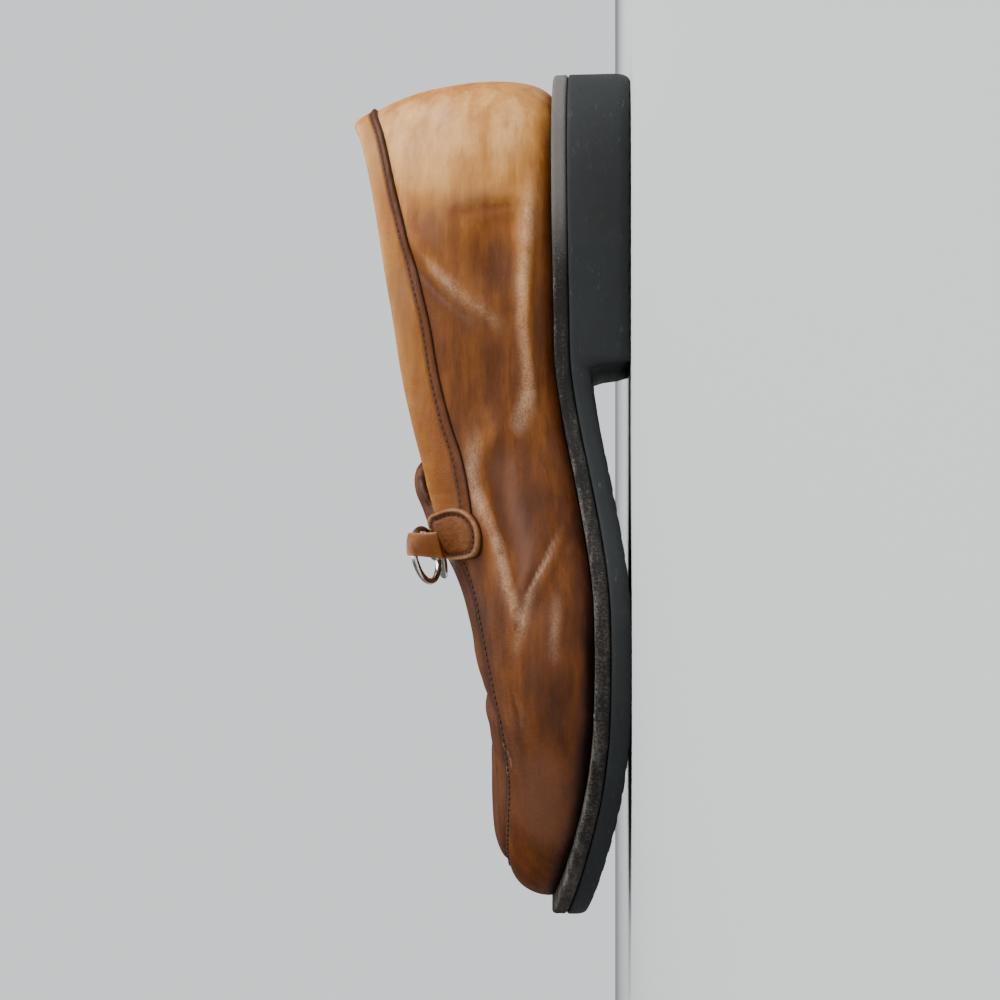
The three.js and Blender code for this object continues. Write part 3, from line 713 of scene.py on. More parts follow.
def leather_finish(name, grain=1.0, haze=0.15, streaks=0.13, mottle=0.15):
    """Burnished calf: its colour follows the piece's tone and its painted sheen and shade, with streaks,
    clouds, haze and pores.
    """
    leather, place, shine = new_finish(name, Specular_IOR_Level=0.18, Coat_Roughness=0.25, IOR=1.45)
    tone, rub = painted(place, "tone"), painted(place, "rub")
    cloud = speckle(place, 38, 4, 0.62, distortion=0.4)
    blotch = speckle(place, 130, 4, 0.66, stretch=(0.7, 1, 1))
    streak = speckle(place, 190, 4, 0.6, stretch=(0.13, 1, 1)).between(0.28, 0.72)
    fine = speckle(place, 640, 3, 0.6, stretch=(0.3, 1, 1))
    pore = place.node("TexVoronoi", {"feature": "F1"}, {"Vector": place, "Scale": 2600.0}, out="Distance")
    lit = tone + (cloud - 0.5) * (mottle * 1.2) + (blotch - 0.5) * (mottle * 0.6)
    lit = lit + (streak - 0.5) * streaks + (fine - 0.5) * 0.07
    brown = lit.node("ValToRGB", {"stops": [
        (0.0, paint(12, 5, 2)), (0.16, paint(32, 13, 4)), (0.32, paint(58, 27, 8)),
        (0.46, paint(90, 46, 11)), (0.6, paint(126, 72, 21)), (0.76, paint(176, 118, 55)),
        (0.9, paint(212, 158, 93)), (1.0, paint(230, 186, 128)),
    ]}, {"Fac": lit}, out="Color")
    plum = speckle(place, 52, 3, 0.6, stretch=(0.6, 1, 1), distortion=0.6).between(0.47, 0.7)
    # Below 0 the value is painted shade, a plum brown laid over the hollows.
    shadow = (0 - rub).between(0.0, 1.0)
    plum_and_painted_shade = (plum * haze + shadow * 0.65).over(brown, paint(106, 68, 49))
    dots = speckle(place, 1300, 3, 0.8).between(0.42, 0.6)
    # Above 0 it is a painted sheen: a pale, speckled highlight on the raised folds.
    worn = rub * (0.1 + dots * 0.45 + blotch.between(0.32, 0.66) * 0.55)
    with_painted_sheen = worn.over(plum_and_painted_shade, paint(204, 166, 134))
    rough = 0.3 + cloud * 0.16 + fine * 0.16
    feed(shine, Base_Color=with_painted_sheen, Roughness=rough, Coat_Weight=0.04 + plum * 0.08)
    wander = speckle(place, 300, 2)
    shift = wander.node("VectorMath", {"operation": "SCALE"}, {0: wander, "Scale": 0.001})
    warped = place.node("VectorMath", {"operation": "ADD"}, {0: place, 1: shift})
    cells = {"Vector": warped, "Scale": 1700.0}
    rifts = place.node("TexVoronoi", {"feature": "DISTANCE_TO_EDGE"}, cells, out="Distance")
    crackle = rifts.between(0.0, 0.2)
    height = pore * (0.3 * grain) + fine * 0.5 + blotch * (0.5 * grain) + crackle * (0.16 * grain)
    relief(shine, height, 0.0002)
    return leather


def wall_place(i, j):
    """The wall from its edge tucked in above the midsole up to the rim."""
    turn = 2 * i / WALL_COLUMNS
    if j == 0:
        share = share_at(turn)
        return edge_point(turn, BALL_WIDTH * WALL.inset(share) + WALL_TUCK, over_midsole(share) + 0.1)
    return on_wall(turn, (j - 1) / (WALL_ROWS - 1))


calf = leather_finish("burnished_calf")
wall = sheet(WALL_COLUMNS, WALL_ROWS, wall_place, wall_tone, wall_sheen_and_shade, flip=True)
piece("side_wall", wall, calf, "upper_leather", "upper", thickness=SKIN)


# Apron and tongue: the plug of the moccasin, cut from the same calf leather. It is sewn a little
# under the edge of the side wall from the strap to the toe, and ends behind it in a rounded tongue.
APRON_ACROSS = 44
APRON_LAP = 4
TONGUE_STEPS, APRON_STEPS = 30, 150
TONGUE_REACH = 20.6
TONGUE_ROUNDING = 2.5
CROWN_FULLNESS = 2.2
LAP_DEPTH = 0.85

TONGUE = smooth_columns("back half edge crest", [
    (0, 1, 50, 57.5), (3.5, 0.885, 51.4, 58.3), (8, 0.85, 53.2, 59.2), (13, 0.76, 54.2, 58.9),
    (17, 0.6, 54.4, 57.4), (19.5, 0.38, 54, 55.6), (20.6, 0.12, 53.8, 54.4),
])

APRON_CREASES = [
    # x where each flexing crease crosses, half width, height
    (214, 2.6, -0.55), (219.5, 3.2, -1.5), (226, 3.0, 0.5), (238, 2.2, -0.35), (205, 4, 0.3),
]


def crowned(outer, inner, crest, across):
    middle = outer.lerp(inner, (1 - across) / 2)
    middle.z += (crest - middle.z) * (1 - abs(across) ** CROWN_FULLNESS)
    return middle


def tongue_point(back, across):
    outer = wall_point(STRAP_WALK, 1)
    inner = wall_point(2 - STRAP_WALK, 1)
    x = outer.x - back + TONGUE_ROUNDING * (back / 20) * across * across
    base = over_midsole(x / LENGTH)
    half = TONGUE.half(back)
    return crowned(
        Vector((x, outer.y * half, base + TONGUE.edge(back))),
        Vector((x, inner.y * half, base + TONGUE.edge(back))),
        base + TONGUE.crest(back),
        across,
    )


def apron_point(walk, across):
    crest = RIM.x(share_of(walk))
    height = over_midsole(crest) + INSTEP_HEIGHT * RIM.crest(share_of(walk))
    return crowned(wall_point(walk, 1), wall_point(2 - walk, 1), height, across)


def on_apron(walk, across, lift=0.0):
    """A place on the leather of the apron, with its flexing creases."""
    point = apron_point(walk, across)
    edge = LAP_DEPTH * abs(across) ** 12
    wander = 3.5 * ripple(point.y * 0.06, 2, 1)
    for x, width, height in APRON_CREASES:
        bow = x + wander + 0.006 * point.y * point.y
        lift += height * hump(point.x, bow, width) * (1 - abs(across) ** 4)
    lift += noise.noise(point * 0.06) * 0.3 * (1 - abs(across) ** 6)
    step = 0.01
    along = apron_point(min(walk + step, 1), across) - apron_point(walk - step, across)
    sideways = apron_point(walk, min(across + step, 1)) - apron_point(walk, max(across - step, -1))
    return point + along.cross(sideways).normalized() * (lift - edge)


def apron_place(i, j):
    """Columns run across the foot and rows from the tongue's lip to the toe."""
    across = 2 * (i - APRON_LAP) / APRON_ACROSS - 1
    tuck = max(abs(across) - 1, 0) * APRON_ACROSS / 2 / APRON_LAP
    if j < TONGUE_STEPS:
        point = tongue_point(TONGUE_REACH * (1 - j / TONGUE_STEPS) ** 0.8, clamp(across, -1))
        point.z += noise.noise(point * 0.07) * 0.4
        point.z -= 2.2 * tuck
        return point
    walk = STRAP_WALK + (1 - STRAP_WALK) * (j - TONGUE_STEPS) / APRON_STEPS
    if tuck:
        return on_wall(turn_at(walk, across), 1 - 0.08 * tuck, -SKIN - 0.15, creased=False)
    return on_apron(walk, across)


def apron_tone(i, j, point):
    across = 2 * (i - APRON_LAP) / APRON_ACROSS - 1
    # Darker towards the lapped edges, under the wall's edge: painted shade of the seam's groove.
    return TONES.apron(clamp(point.x / LENGTH)) - 0.14 * min(abs(across), 1) ** 8


apron = sheet(APRON_ACROSS + 2 * APRON_LAP, TONGUE_STEPS + APRON_STEPS, apron_place, apron_tone, flip=True)
piece("apron_and_tongue", apron, calf, "upper_leather", thickness=SKIN)


# Collar band: a strip of lighter calf lapped over the top of the side wall from strap to strap. It
# is sewn near its lower edge, which puckers up into a dark bead, and folds over the topline.
BAND = smooth_columns("at drop stitch bead", [
    (0, 9, 2.3, 1), (0.12, 9, 2.4, 1), (0.16, 9.4, 2.5, 1), (0.21, 10.7, 2.6, 0.9),
    (0.26, 12.2, 2.7, 0.8), (0.31, 13, 2.8, 0.7), (0.37, 13.2, 3, 0.6), (0.42, 13.8, 3.2, 0.6),
    (0.46, 14.8, 3.4, 0.55), (0.5, 14.8, 3.6, 0.5), (0.53, 13.4, 3.8, 0.4), (0.55, 11, 3.8, 0.4),
])
BAND_THICKNESS = 0.8
BAND_COLUMNS = 460
BAND_END_WALK = walk_of(0.545)
BAND_UP_STEPS, FOLD_STEPS, INSIDE_STEPS = 30, 9, 6
FOLD_BELOW_RIM = 1.2
FOLD_RADIUS = 1.75
INSIDE_DEPTH = 5


def band_turn(i):
    return 2 - BAND_END_WALK + 2 * BAND_END_WALK * i / BAND_COLUMNS


def band_lift(turn, in_from_edge):
    """How far the band's face stands off the wall, from its lower edge inwards."""
    share = share_at(turn)
    stitch = BAND.stitch(share)
    bead = BAND.bead(share) * math.sin(math.pi * min(in_from_edge / stitch, 1)) * 0.42
    pucker = 1 + 0.5 * ripple(turn * 130, in_from_edge * 0.4, 5)
    trough = -0.24 * hump(in_from_edge, stitch, 0.5)
    rounding = 0.7 * (1 - (1 - min(in_from_edge / 0.6, 1)) ** 2)
    swell = 0.22 * math.sin(math.pi * clamp((in_from_edge - stitch) / 8))
    by_tab = clamp((share - 0.44) / 0.06)
    wrinkle = (0.05 + 0.16 * by_tab) * ripple(turn * 260, in_from_edge * 0.25, 9)
    return 0.2 + rounding + bead * pucker + trough + swell + wrinkle


def in_from_lower_edge(turn, j):
    """Rows lie closer together by the lower edge, where the bead and the stitches are."""
    part = j / BAND_UP_STEPS
    return (BAND.drop(share_at(turn)) - FOLD_BELOW_RIM) * (0.62 * part + 0.38 * part * part)


def band_place(i, j):
    turn = band_turn(i)
    lower_edge = wall_point(turn, 1).z - BAND.drop(share_at(turn))
    in_from_edge = in_from_lower_edge(turn, min(j, BAND_UP_STEPS))
    up = up_at(turn, lower_edge + in_from_edge)
    start = on_wall(turn, up, band_lift(turn, in_from_edge))
    j -= BAND_UP_STEPS
    if j <= 0:
        return start
    normal = wall_normal(turn, up)
    rise = (wall_point(turn, up) - wall_point(turn, up - 0.02)).normalized()
    if j <= FOLD_STEPS:
        angle = math.pi * j / FOLD_STEPS
        return start + FOLD_RADIUS * (normal * (math.cos(angle) - 1) + rise * 0.8 * math.sin(angle))
    inside = (j - FOLD_STEPS) / INSIDE_STEPS
    return start - normal * (2 * FOLD_RADIUS) - rise * INSIDE_DEPTH * inside


def band_tone(i, j, point):
    """Darker below the stitches, with painted shade along the lower edge, and a painted highlight where it
    folds over and towards the topline.
    """
    share = share_at(band_turn(i))
    tone = 0.73 - 0.1 * min(share / 0.3, 1) - 0.08 * clamp((share - 0.3) / 0.2)
    if j > BAND_UP_STEPS:
        # Painted highlight on the fold over the topline.
        return tone + 0.14 - 0.12 * min((j - BAND_UP_STEPS) / FOLD_STEPS, 1)
    in_from_edge = in_from_lower_edge(band_turn(i), j)
    dark = hump(max(in_from_edge, BAND.stitch(share)), BAND.stitch(share), 0.7)
    # The hump at the lower edge is painted shade along the band's edge.
    tone -= dark * (0.34 - 0.22 * min(share / 0.45, 1)) + 0.2 * hump(in_from_edge, 0, 0.5)
    # Lighter towards the topline: painted highlight.
    return tone + 0.12 * (j / BAND_UP_STEPS) ** 6


band_calf = leather_finish("collar_calf", grain=1.5, haze=0.2, streaks=0.05, mottle=0.12)
band = sheet(BAND_COLUMNS, BAND_UP_STEPS + FOLD_STEPS + INSIDE_STEPS, band_place, band_tone, flip=True)
piece("collar_band", band, band_calf, "upper_leather", thickness=BAND_THICKNESS)


# Tongue binding: a narrow strip of plum-brown leather, rolled round the free edge of the tongue and
# sewn through both.
BINDING_RADIUS = 1.25
BINDING_STEPS, BINDING_SIDES = 150, 14
LIP_PART = 0.35


def tongue_edge(along):
    """The free edge of the tongue, from the outer end (0) round its lip to the inner end (1)."""
    swing = 2 * abs(along - 0.5)
    if swing < LIP_PART:
        return tongue_point(TONGUE_REACH, (0.5 - along) * 2 / LIP_PART)
    back = TONGUE_REACH * (1 - swing) / (1 - LIP_PART)
    return tongue_point(max(back, 0.4), 1 if along < 0.5 else -1)


def binding_place(i, j):
    along = i / BINDING_STEPS
    step = 0.012
    centre = tongue_edge(along)
    ahead, behind = tongue_edge(min(along + step, 1)), tongue_edge(max(along - step, 0))
    run = (ahead - behind).normalized()
    over = Vector((0, 0, 1)) - run * run.z
    over.normalize()
    out = run.cross(over)
    angle = 2 * math.pi * j / BINDING_SIDES
    end = min(along / 0.02, (1 - along) / 0.02, 1)
    wrinkle = 1 + 0.06 * ripple(along * 60, math.cos(angle), math.sin(angle))
    ring = out * math.cos(angle) * BINDING_RADIUS + over * math.sin(angle) * BINDING_RADIUS * 1.1
    return centre - over * 0.5 + ring * wrinkle * end ** 0.5


binding_calf = leather_finish("binding_calf", grain=0.8, haze=0.85, streaks=0.05)
binding = sheet(BINDING_STEPS, BINDING_SIDES, binding_place, lambda i, j, point: 0.32, closed=True)
piece("tongue_binding", binding, binding_calf, "upper_leather")


# Lining: soft leather inside the wall from the topline to the insole, and grey felt under the
# tongue, both glued to the upper.
LINING_GAP = 0.12
LINING_COLUMNS, LINING_ROWS = 240, 40
FELT_ACROSS, FELT_TONGUE_STEPS, FELT_APRON_STEPS = 32, 16, 60
FELT_REACH = 19.4
FELT_WIDTH, FELT_LENGTH = 0.93, 0.92


def lining_place(i, j):
    up = 0.02 + 0.95 * j / LINING_ROWS
    return on_wall(2 * i / LINING_COLUMNS, up, -SKIN - LINING_GAP)


lining, place, shine = new_finish("lining_leather")
cloud = speckle(place, 45, 4, 0.6)
nap = speckle(place, 1900, 3, 0.7)
rubbed = speckle(place, 16, 3, 0.6).between(0.42, 0.62)
tan = cloud.between(0.3, 0.7).over(paint(140, 112, 86), paint(172, 142, 110))
feed(
    shine,
    Base_Color=(rubbed * 0.4).over(tan, paint(104, 82, 66)),
    Roughness=0.66 + nap * 0.22,
)
relief(shine, nap + cloud * 0.6, 0.00012)
quarter_lining = sheet(LINING_COLUMNS, LINING_ROWS, lining_place, flip=True)
piece("quarter_lining", quarter_lining, lining, "lining", thickness=0.7)

felt, place, shine = new_finish("tongue_felt", Roughness=0.95)
nap = speckle(place, 2400, 5, 0.85)
tuft = speckle(place, 420, 3, 0.7)
fluff = (nap * 0.6 + tuft * 0.4).between(0.35, 0.7)
feed(shine, Base_Color=fluff.over(paint(84, 78, 74), paint(156, 148, 140)))
relief(shine, nap + tuft, 0.0005)


def felt_place(i, j):
    """The felt stops short of the tongue's lip, of the seams and of the toe."""
    across = (2 * i / FELT_ACROSS - 1) * FELT_WIDTH
    j -= FELT_TONGUE_STEPS
    if j < 0:
        point = tongue_point(-FELT_REACH * j / FELT_TONGUE_STEPS, across)
    else:
        ahead = (1 - STRAP_WALK) * FELT_LENGTH * j / FELT_APRON_STEPS
        point = apron_point(STRAP_WALK + ahead, across)
    return point - Vector((0, 0, SKIN + 0.45 + LAP_DEPTH * abs(across) ** 8))


tongue_lining = sheet(FELT_ACROSS, FELT_TONGUE_STEPS + FELT_APRON_STEPS, felt_place, flip=True)
piece("tongue_lining", tongue_lining, felt, "lining", thickness=0.5)


# Side tabs: a cushioned pad of the strap's brown leather on each side, with a rolled rim. It is sewn
# to the wall by a frame of stitches inside the rim, and the strap's arm leaves it at its upper end.
TAB_MIDDLE = (165.6, 59.8)
TAB_OUTLINE = [
    # x, z round the pad on the outer side, from its back upper corner down and round
    (160.0, 70.2), (157.0, 65.4), (155.2, 59.2), (156.6, 53.8), (161.0, 50.2), (167.0, 49.2),
    (172.2, 50.8), (174.4, 56.2), (175.8, 62.0), (174.6, 66.2), (171.0, 69.0), (165.4, 70.4),
]
TAB_STITCH_RADIUS = 0.74
TAB_RINGS, TAB_ROUND_STEPS = 18, 96
ARM_SIDE, ARM_SIDE_REACH = 0.955, 0.085
SIDES = ((1, "lateral"), (-1, "medial"))


def tab_outline(around):
    """A place on the outline, on a closed smooth curve through its corners: around from 0 to 1."""
    count = len(TAB_OUTLINE)
    i, u = divmod(around % 1 * count, 1)
    a, b, c, d = (Vector(TAB_OUTLINE[(int(i) + n) % count]) for n in (-1, 0, 1, 2))
    bent = (2 * a - 5 * b + 4 * c - d) * u * u + (3 * b - a - 3 * c + d) * u ** 3
    return 0.5 * (2 * b + (c - a) * u + bent)


def under_arm(around):
    """1 where the arm leaves the pad, at the middle of its upper end, and 0 on the rest of its rim."""
    away = abs((around - ARM_SIDE + 0.5) % 1 - 0.5)
    return math.exp(-((away / ARM_SIDE_REACH) ** 4))


def tab_lift(around, radius):
    cushion = 1.35 + 0.55 * math.cos(min(radius / TAB_STITCH_RADIUS, 1) * math.pi / 2)
    trough = -0.55 * hump(radius, TAB_STITCH_RADIUS, 0.07)
    bead = (0.55 - 1.15 * under_arm(around)) * hump(radius, 0.89, 0.085)
    fall = -1.35 * max(0, (radius - 0.9) / 0.1) ** 2
    return cushion + trough + bead + fall


def off_wall(side, x, z, lift):
    """A place off the wall at x along the shoe and z up, going straight on past the rim."""
    turn = turn_at(walk_of(x / LENGTH), side)
    rim = wall_point(turn, 1)
    up = up_at(turn, min(z, rim.z - 0.3))
    past_rim = (rim - wall_point(turn, 0.97)).normalized() * max(0, z - rim.z + 0.3)
    return on_wall(turn, up, lift, creased=False) + past_rim


def on_tab(side, around, radius, lift=0.0):
    corner = tab_outline(around)
    x = TAB_MIDDLE[0] + (corner.x - TAB_MIDDLE[0]) * radius
    z = TAB_MIDDLE[1] + (corner.y - TAB_MIDDLE[1]) * radius
    wrinkle = 0.12 * ripple(x * 0.7, z * 0.7, side)
    return off_wall(side, x, z, tab_lift(around, radius) + wrinkle + lift)


def tab_tone(i, j, point):
    radius = j / TAB_RINGS
    tone = 0.5 - 0.12 * hump(radius, TAB_STITCH_RADIUS, 0.06)
    return tone + 0.03 * hump(radius, 0.9, 0.07) - 0.2 * max(0, (radius - 0.95) / 0.05)


def tab_sheen(i, j, point):
    # Painted sheen on the rolled rim's bead.
    return 0.34 * hump(j / TAB_RINGS, 0.9, 0.05)


tab_calf = leather_finish("tab_calf", grain=1.2, haze=0.48, streaks=0.04, mottle=0.16)
for side, name in SIDES:
    def tab_place(i, j, side=side):
        return on_tab(side, i / TAB_ROUND_STEPS, j / TAB_RINGS)

    pad = sheet(TAB_ROUND_STEPS, TAB_RINGS, tab_place, tab_tone, tab_sheen, flip=side < 0)
    piece(f"tab_{name}", pad, tab_calf, "strap_leather", f"strap_{name}", thickness=1.0)


# Horsebit: two steel rings and a bar between them, polished. Each ring hangs in the strap's loop
# on one side and in the barrel at the bar's end, and the bar lies on the crest of the apron.
RING_RADIUS = 9.4
WIRE_RADIUS = 1.15
RING_AT = 171.5
RING_OUT = 15.4
RING_TILT = math.radians(16)
RING_PITCH = math.radians(13)
BARREL_RADIUS = 2.5
RING_STEPS, WIRE_SIDES, BAR_SIDES = 96, 24, 32
BAR_PROFILE = [
    # y, radius of one half of the bar, from its middle to its end
    (0, 2.1), (0.9, 2.1), (1.3, 1.95), (1.9, 1.5), (3.0, 1.42), (3.4, 1.5), (3.9, 2.3), (4.4, 2.5),
    (7.2, 2.5), (7.9, 2.2), (8.6, 1.5), (8.7, 0.0),
]

steel, place, shine = new_finish("polished_steel", Metallic=1.0)
tarnish = speckle(place, 420, 4, 0.7)
scratch = speckle(place, 1500, 2, 0.6, stretch=(0.3, 1, 1)).between(0.55, 0.75)
feed(
    shine,
    Base_Color=tarnish.between(0.4, 0.75).over(paint(226, 225, 221), paint(176, 170, 160)),
    Roughness=0.07 + tarnish * 0.1 + scratch * 0.12,
)


def apron_height(x, y):
    """Height of the apron at a place on its outer half, found by halving a stretch of the rim."""
    low, high = 0.5, 1.0
    for _ in range(30):
        middle = (low + high) / 2
        if wall_point(middle, 1).x < x:
            low = middle
        else:
            high = middle
    return apron_point(low, y / wall_point(low, 1).y).z


def bar_seat(y, step):
    return apron_height(RING_AT + step, y) + math.sqrt(BARREL_RADIUS ** 2 - step * step)


BAR_Z = max(bar_seat(y, step) for y in (0, 4, 8) for step in (-2, -1, 0, 1)) + FIT
RING_Z = BAR_Z + RING_RADIUS * math.sin(RING_TILT) * math.cos(RING_PITCH)

for side, name in SIDES:
    ring = bmesh.new()
    seat = Matrix.Translation((RING_RADIUS, 0, 0)) @ Matrix.Rotation(math.pi / 2, 4, "X")
    bmesh.ops.create_circle(ring, segments=WIRE_SIDES, radius=WIRE_RADIUS, matrix=seat)
    bmesh.ops.spin(ring, geom=ring.verts[:] + ring.edges[:], cent=(0, 0, 0), axis=(0, 0, 1),
                   angle=2 * math.pi, steps=RING_STEPS, use_merge=True)
    turned = Matrix.Rotation(RING_PITCH, 4, "Y") @ Matrix.Rotation(side * RING_TILT, 4, "X")
    bmesh.ops.transform(ring, matrix=turned, verts=ring.verts[:])
    for vert in ring.verts:
        vert.co = in_frame(vert.co + Vector((RING_AT, side * RING_OUT, RING_Z)))
    bmesh.ops.recalc_face_normals(ring, faces=ring.faces[:])
    piece(f"ring_{name}", ring, steel, "steel", f"bit_ring_{name}")

bar = bmesh.new()
profile = [(-y, radius) for y, radius in reversed(BAR_PROFILE[1:])] + BAR_PROFILE
chain = [bar.verts.new((radius, y, 0)) for y, radius in profile]
for near, far in zip(chain, chain[1:]):
    bar.edges.new((near, far))
bmesh.ops.spin(bar, geom=bar.verts[:] + bar.edges[:], cent=(0, 0, 0), axis=(0, 1, 0),
               angle=2 * math.pi, steps=BAR_SIDES, use_merge=True)
bmesh.ops.remove_doubles(bar, verts=bar.verts[:], dist=1e-4)
for vert in bar.verts:
    vert.co = in_frame(vert.co + Vector((RING_AT, 0, BAR_Z)))
bmesh.ops.recalc_face_normals(bar, faces=bar.faces[:])
piece("cross_bar", bar, steel, "steel", "bit_bar")


# Strap arms: the end of the strap comes out from under each tab, bends over the edge of the wall,
# goes round the wire of the ring and comes back below itself, so its cut sides show two layers.
ARM_AT, ARM_HALF = 167.5, 3.5
ARM_ROOT = {"height": 64.9, "slope": -0.12, "lift": 0.35}
ARM_BEND = {"height": 72.0, "lift": 1.9}
ARM_THICKNESS = 1.2
ARM_EDGE_ROUND = 0.3
ARM_FOLD_GAP, ARM_LOOP_RADIUS = 0.68, 1.8
ARM_SLICES, ARM_PATH_STEPS, ARM_LOOP_STEPS = 14, 22, 16


def wire_at(x):
    """The ring's outer wire at a place along the shoe: how far out and how high its centre is."""
    cross = math.sin(RING_TILT) * math.sin(RING_PITCH)
    turn = math.acos((x - RING_AT) / (RING_RADIUS * math.hypot(math.cos(RING_PITCH), cross)))
    angle = turn + math.atan2(cross, math.cos(RING_PITCH))
    drop = math.cos(angle) * math.sin(RING_PITCH)
    lift = math.sin(angle) * math.sin(RING_TILT) * math.cos(RING_PITCH)
    return Vector((
        RING_OUT + RING_RADIUS * math.sin(angle) * math.cos(RING_TILT),
        RING_Z + RING_RADIUS * (lift - drop),
    ))


@lru_cache(None)
def arm_section(x, side):
    """The middle of the arm's leather at x along the shoe: out of the tab, round the wire and back."""
    def off(height, lift):
        point = off_wall(side, x, height, lift)
        return Vector((side * point.y, point.z))

    root = off(ARM_ROOT["height"] + ARM_ROOT["slope"] * (x - ARM_AT), ARM_ROOT["lift"])
    bend, ring = off(ARM_BEND["height"], ARM_BEND["lift"]), wire_at(x)
    outside, inside = [], []
    for step in range(ARM_PATH_STEPS + 1):
        t = step / ARM_PATH_STEPS
        centre = root * (1 - t) ** 2 + bend * (2 * t * (1 - t)) + ring * t * t
        along = ((bend - root) * (1 - t) + (ring - bend) * t).normalized()
        over = Vector((along.y, -along.x))
        half = ARM_FOLD_GAP + (ARM_LOOP_RADIUS - ARM_FOLD_GAP) * t ** 3
        outside.append(centre + over * half)
        inside.insert(0, centre - over * half)
    start = math.atan2(-along.x, along.y)
    angles = [start + math.pi * k / ARM_LOOP_STEPS for k in range(1, ARM_LOOP_STEPS)]
    loop = [ring + ARM_LOOP_RADIUS * Vector((math.cos(angle), math.sin(angle))) for angle in angles]
    return [Vector((x, side * p.x, p.y)) for p in outside + loop + inside]


ARM_ROWS = 2 * ARM_PATH_STEPS + ARM_LOOP_STEPS


def round_wire(j):
    """1 at the middle of the loop round the wire, fading along the arm."""
    return hump(j, ARM_ROWS / 2, 5)


def arm_tone(i, j, point):
    # Lighter round the wire and along the cut sides: painted highlight.
    return 0.53 + 0.1 * round_wire(j) + 0.06 * (2 * i / ARM_SLICES - 1) ** 6


def arm_sheen(i, j, point):
    # Painted sheen round the wire and along the cut sides.
    return 0.5 * round_wire(j) + 0.3 * (2 * i / ARM_SLICES - 1) ** 8


for side, name in SIDES:
    def arm_place(i, j, side=side):
        """The arm is widest at the tab and narrows towards the ring."""
        across = 2 * i / ARM_SLICES - 1
        out = 1 - abs(2 * j / ARM_ROWS - 1)
        half = ARM_HALF * (1.34 - 0.3 * out ** 0.7)
        point = arm_section(round(ARM_AT + ARM_HALF * across, 4), side)[j].copy()
        point.x += across * (half - ARM_HALF)
        return point

    arm = sheet(ARM_SLICES, ARM_ROWS, arm_place, arm_tone, arm_sheen, flip=side < 0)
    made = piece(f"arm_{name}", arm, tab_calf, "strap_leather", thickness=ARM_THICKNESS)
    made.modifiers["wall"].offset = 0
    rounding = made.modifiers.new("rounding", "BEVEL")
    rounding.width = ARM_EDGE_ROUND * MM
    rounding.segments = 2
    rounding.limit_method = "ANGLE"
    rounding.angle_limit = math.radians(50)


# Stitches: dark thread in short dips, along the collar band, along the apron's seam and round the
# frame of each tab.
COLLAR_THREAD = {"pitch": 2.3, "cover": 0.76, "radius": 0.3}
APRON_THREAD = {"pitch": 2.1, "cover": 0.76, "radius": 0.34}
TAB_THREAD = {"pitch": 1.9, "cover": 0.74, "radius": 0.26}
APRON_SEAM_STEPS, TAB_SEAM_STEPS = 300, 120
APRON_SEAM_START = 0.004
APRON_SEAM_BELOW_RIM = 1.5


def sew(points, normals, pitch, cover, radius):
    """Stitches along a line of places, each cover of its pitch long and dipping in at its ends."""
    lengths = [0.0]
    for near, far in zip(points, points[1:]):
        lengths.append(lengths[-1] + (far - near).length)
    seam = bmesh.new()
    count = int(lengths[-1] / pitch)

    def at(length):
        i = clamp(bisect.bisect_right(lengths, length) - 1, 0, len(points) - 2)
        u = (length - lengths[i]) / (lengths[i + 1] - lengths[i])
        return points[i].lerp(points[i + 1], u), normals[i]

    for n in range(count):
        middle = (n + 0.5) * lengths[-1] / count
        (head, normal), (tail, _) = at(middle + pitch * cover / 2), at(middle - pitch * cover / 2)
        centre, _ = at(middle)
        along = (head - tail).normalized()
        across = normal.cross(along).normalized()
        size = Matrix.Diagonal((pitch * cover / 2, radius, radius * 0.8, 1))
        turned = Matrix((along, across, across.cross(along) * -1)).transposed().to_4x4()
        bmesh.ops.create_uvsphere(seam, u_segments=8, v_segments=6, radius=1,
                                  matrix=Matrix.Translation(centre) @ turned @ size)
    for vert in seam.verts:
        vert.co = in_frame(vert.co)
    bmesh.ops.recalc_face_normals(seam, faces=seam.faces[:])
    return seam


thread, place, shine = new_finish("dark_thread", Roughness=0.75)
twist = speckle(place, 2600, 2)
feed(shine, Base_Color=twist.between(0.4, 0.7).over(paint(24, 14, 12), paint(58, 38, 30)))
relief(shine, twist, 0.0001)

line, normals = [], []
for i in range(BAND_COLUMNS + 1):
    turn = band_turn(i)
    stitch = BAND.stitch(share_at(turn))
    up = up_at(turn, wall_point(turn, 1).z - BAND.drop(share_at(turn)) + stitch)
    line.append(on_wall(turn, up, band_lift(turn, stitch) + 0.1))
    normals.append(wall_normal(turn, up))
piece("collar_stitches", sew(line, normals, **COLLAR_THREAD), thread, "upper_leather")

line, normals = [], []
first = STRAP_WALK + APRON_SEAM_START
for i in range(APRON_SEAM_STEPS + 1):
    turn = first + 2 * (1 - first) * i / APRON_SEAM_STEPS
    up = 1 - APRON_SEAM_BELOW_RIM / BACK_HEIGHT / max(RIM.rim(share_at(turn)), 0.2)
    line.append(on_wall(turn, up, 0.16))
    normals.append(wall_normal(turn, up))
piece("apron_stitches", sew(line, normals, **APRON_THREAD), thread, "upper_leather")

for side, name in SIDES:
    arounds = [step / TAB_SEAM_STEPS for step in range(TAB_SEAM_STEPS + 1)]
    line = [on_tab(side, a, TAB_STITCH_RADIUS, 0.3 + 0.6 * under_arm(a)) for a in arounds]
    turn = turn_at(walk_of(TAB_MIDDLE[0] / LENGTH), side)
    face = wall_normal(turn, up_at(turn, TAB_MIDDLE[1]))
    seam = sew(line, [face] * len(line), **TAB_THREAD)
    piece(f"tab_stitches_{name}", seam, thread, "strap_leather")


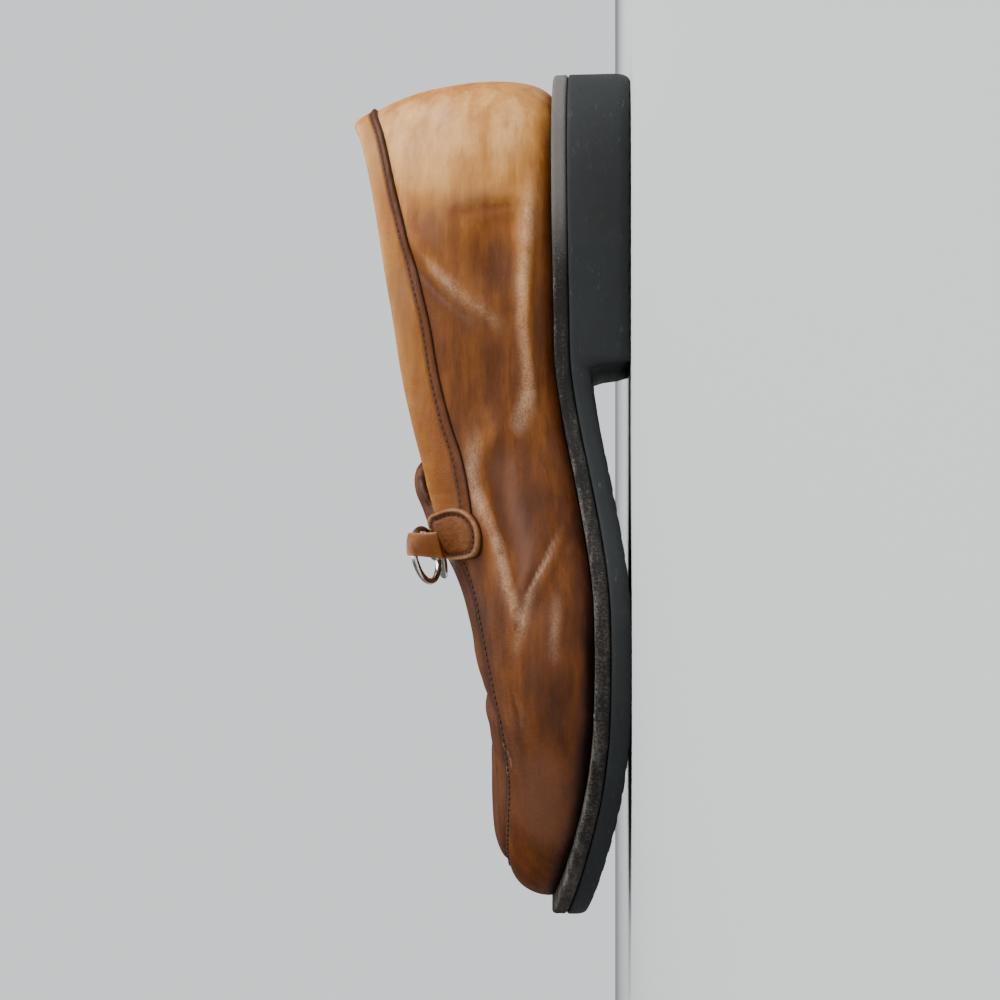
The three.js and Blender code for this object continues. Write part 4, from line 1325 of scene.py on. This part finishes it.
# Stage: a plain pale floor and soft studio light, brightest from the side of the heel. The camera
# is low at the outer side, on the floor, and rolled so that the heel is up.
VIEW_WIDTH = 0.3627
AIM = Vector((0.002, 0.0, 0.047))
CAMERA_PLACE = Vector((0.002, 0.43, 0.006))

paper, *_ = new_finish("pale_paper", Base_Color=paint(196, 199, 200), Roughness=1.0, Specular_IOR_Level=0.0)
grid = bmesh.new()
bmesh.ops.create_grid(grid, x_segments=2, y_segments=2, size=3)
floor = as_object("floor", grid, paper)

world = bpy.data.worlds.new("studio")
bpy.context.scene.world = world
world.use_nodes = True
sky = world.node_tree.nodes["Background"]
sky.inputs["Color"].default_value = paint(224, 228, 230)
studio = Signal(world.node_tree)
seen = studio.node("LightPath", out="Is Camera Ray")
world.node_tree.links.new((seen * 1.05 + 0.24).socket, sky.inputs["Strength"])


def soft_light(name, place, size, power):
    """A softbox turned towards the shoe."""
    data = bpy.data.lights.new(name, "AREA")
    data.shape = "RECTANGLE"
    data.size, data.size_y = size
    data.energy = power
    light = in_scene(name, data)
    light.location = place
    light.rotation_mode = "QUATERNION"
    light.rotation_quaternion = (Vector((0, 0, 0.05)) - Vector(place)).to_track_quat("-Z", "Y")


soft_light("heel_softbox", (-0.75, 0.3, 0.6), (0.6, 0.8), 17)
soft_light("side_fill", (-0.1, 0.95, 0.6), (0.5, 0.5), 5)
soft_light("top_fill", (0.0, -0.35, 1.2), (0.6, 0.6), 4)

daylight = bpy.data.lights.new("daylight", "SUN")
daylight.energy = 0.9
daylight.angle = math.radians(70)
in_scene("daylight", daylight).rotation_euler = (math.radians(-18), math.radians(-14), 0)

lens = bpy.data.cameras.new("camera")
lens.lens = lens.sensor_width * CAMERA_PLACE.y / VIEW_WIDTH
lens.clip_start = 0.01
camera = in_scene("camera", lens)
forward = (AIM - CAMERA_PLACE).normalized()
heel_up = Vector((-1, 0, 0))
heel_up = (heel_up - forward * heel_up.dot(forward)).normalized()
turned = Matrix((forward.cross(heel_up), heel_up, -forward)).transposed().to_4x4()
camera.matrix_world = Matrix.Translation(CAMERA_PLACE) @ turned
bpy.context.scene.camera = camera
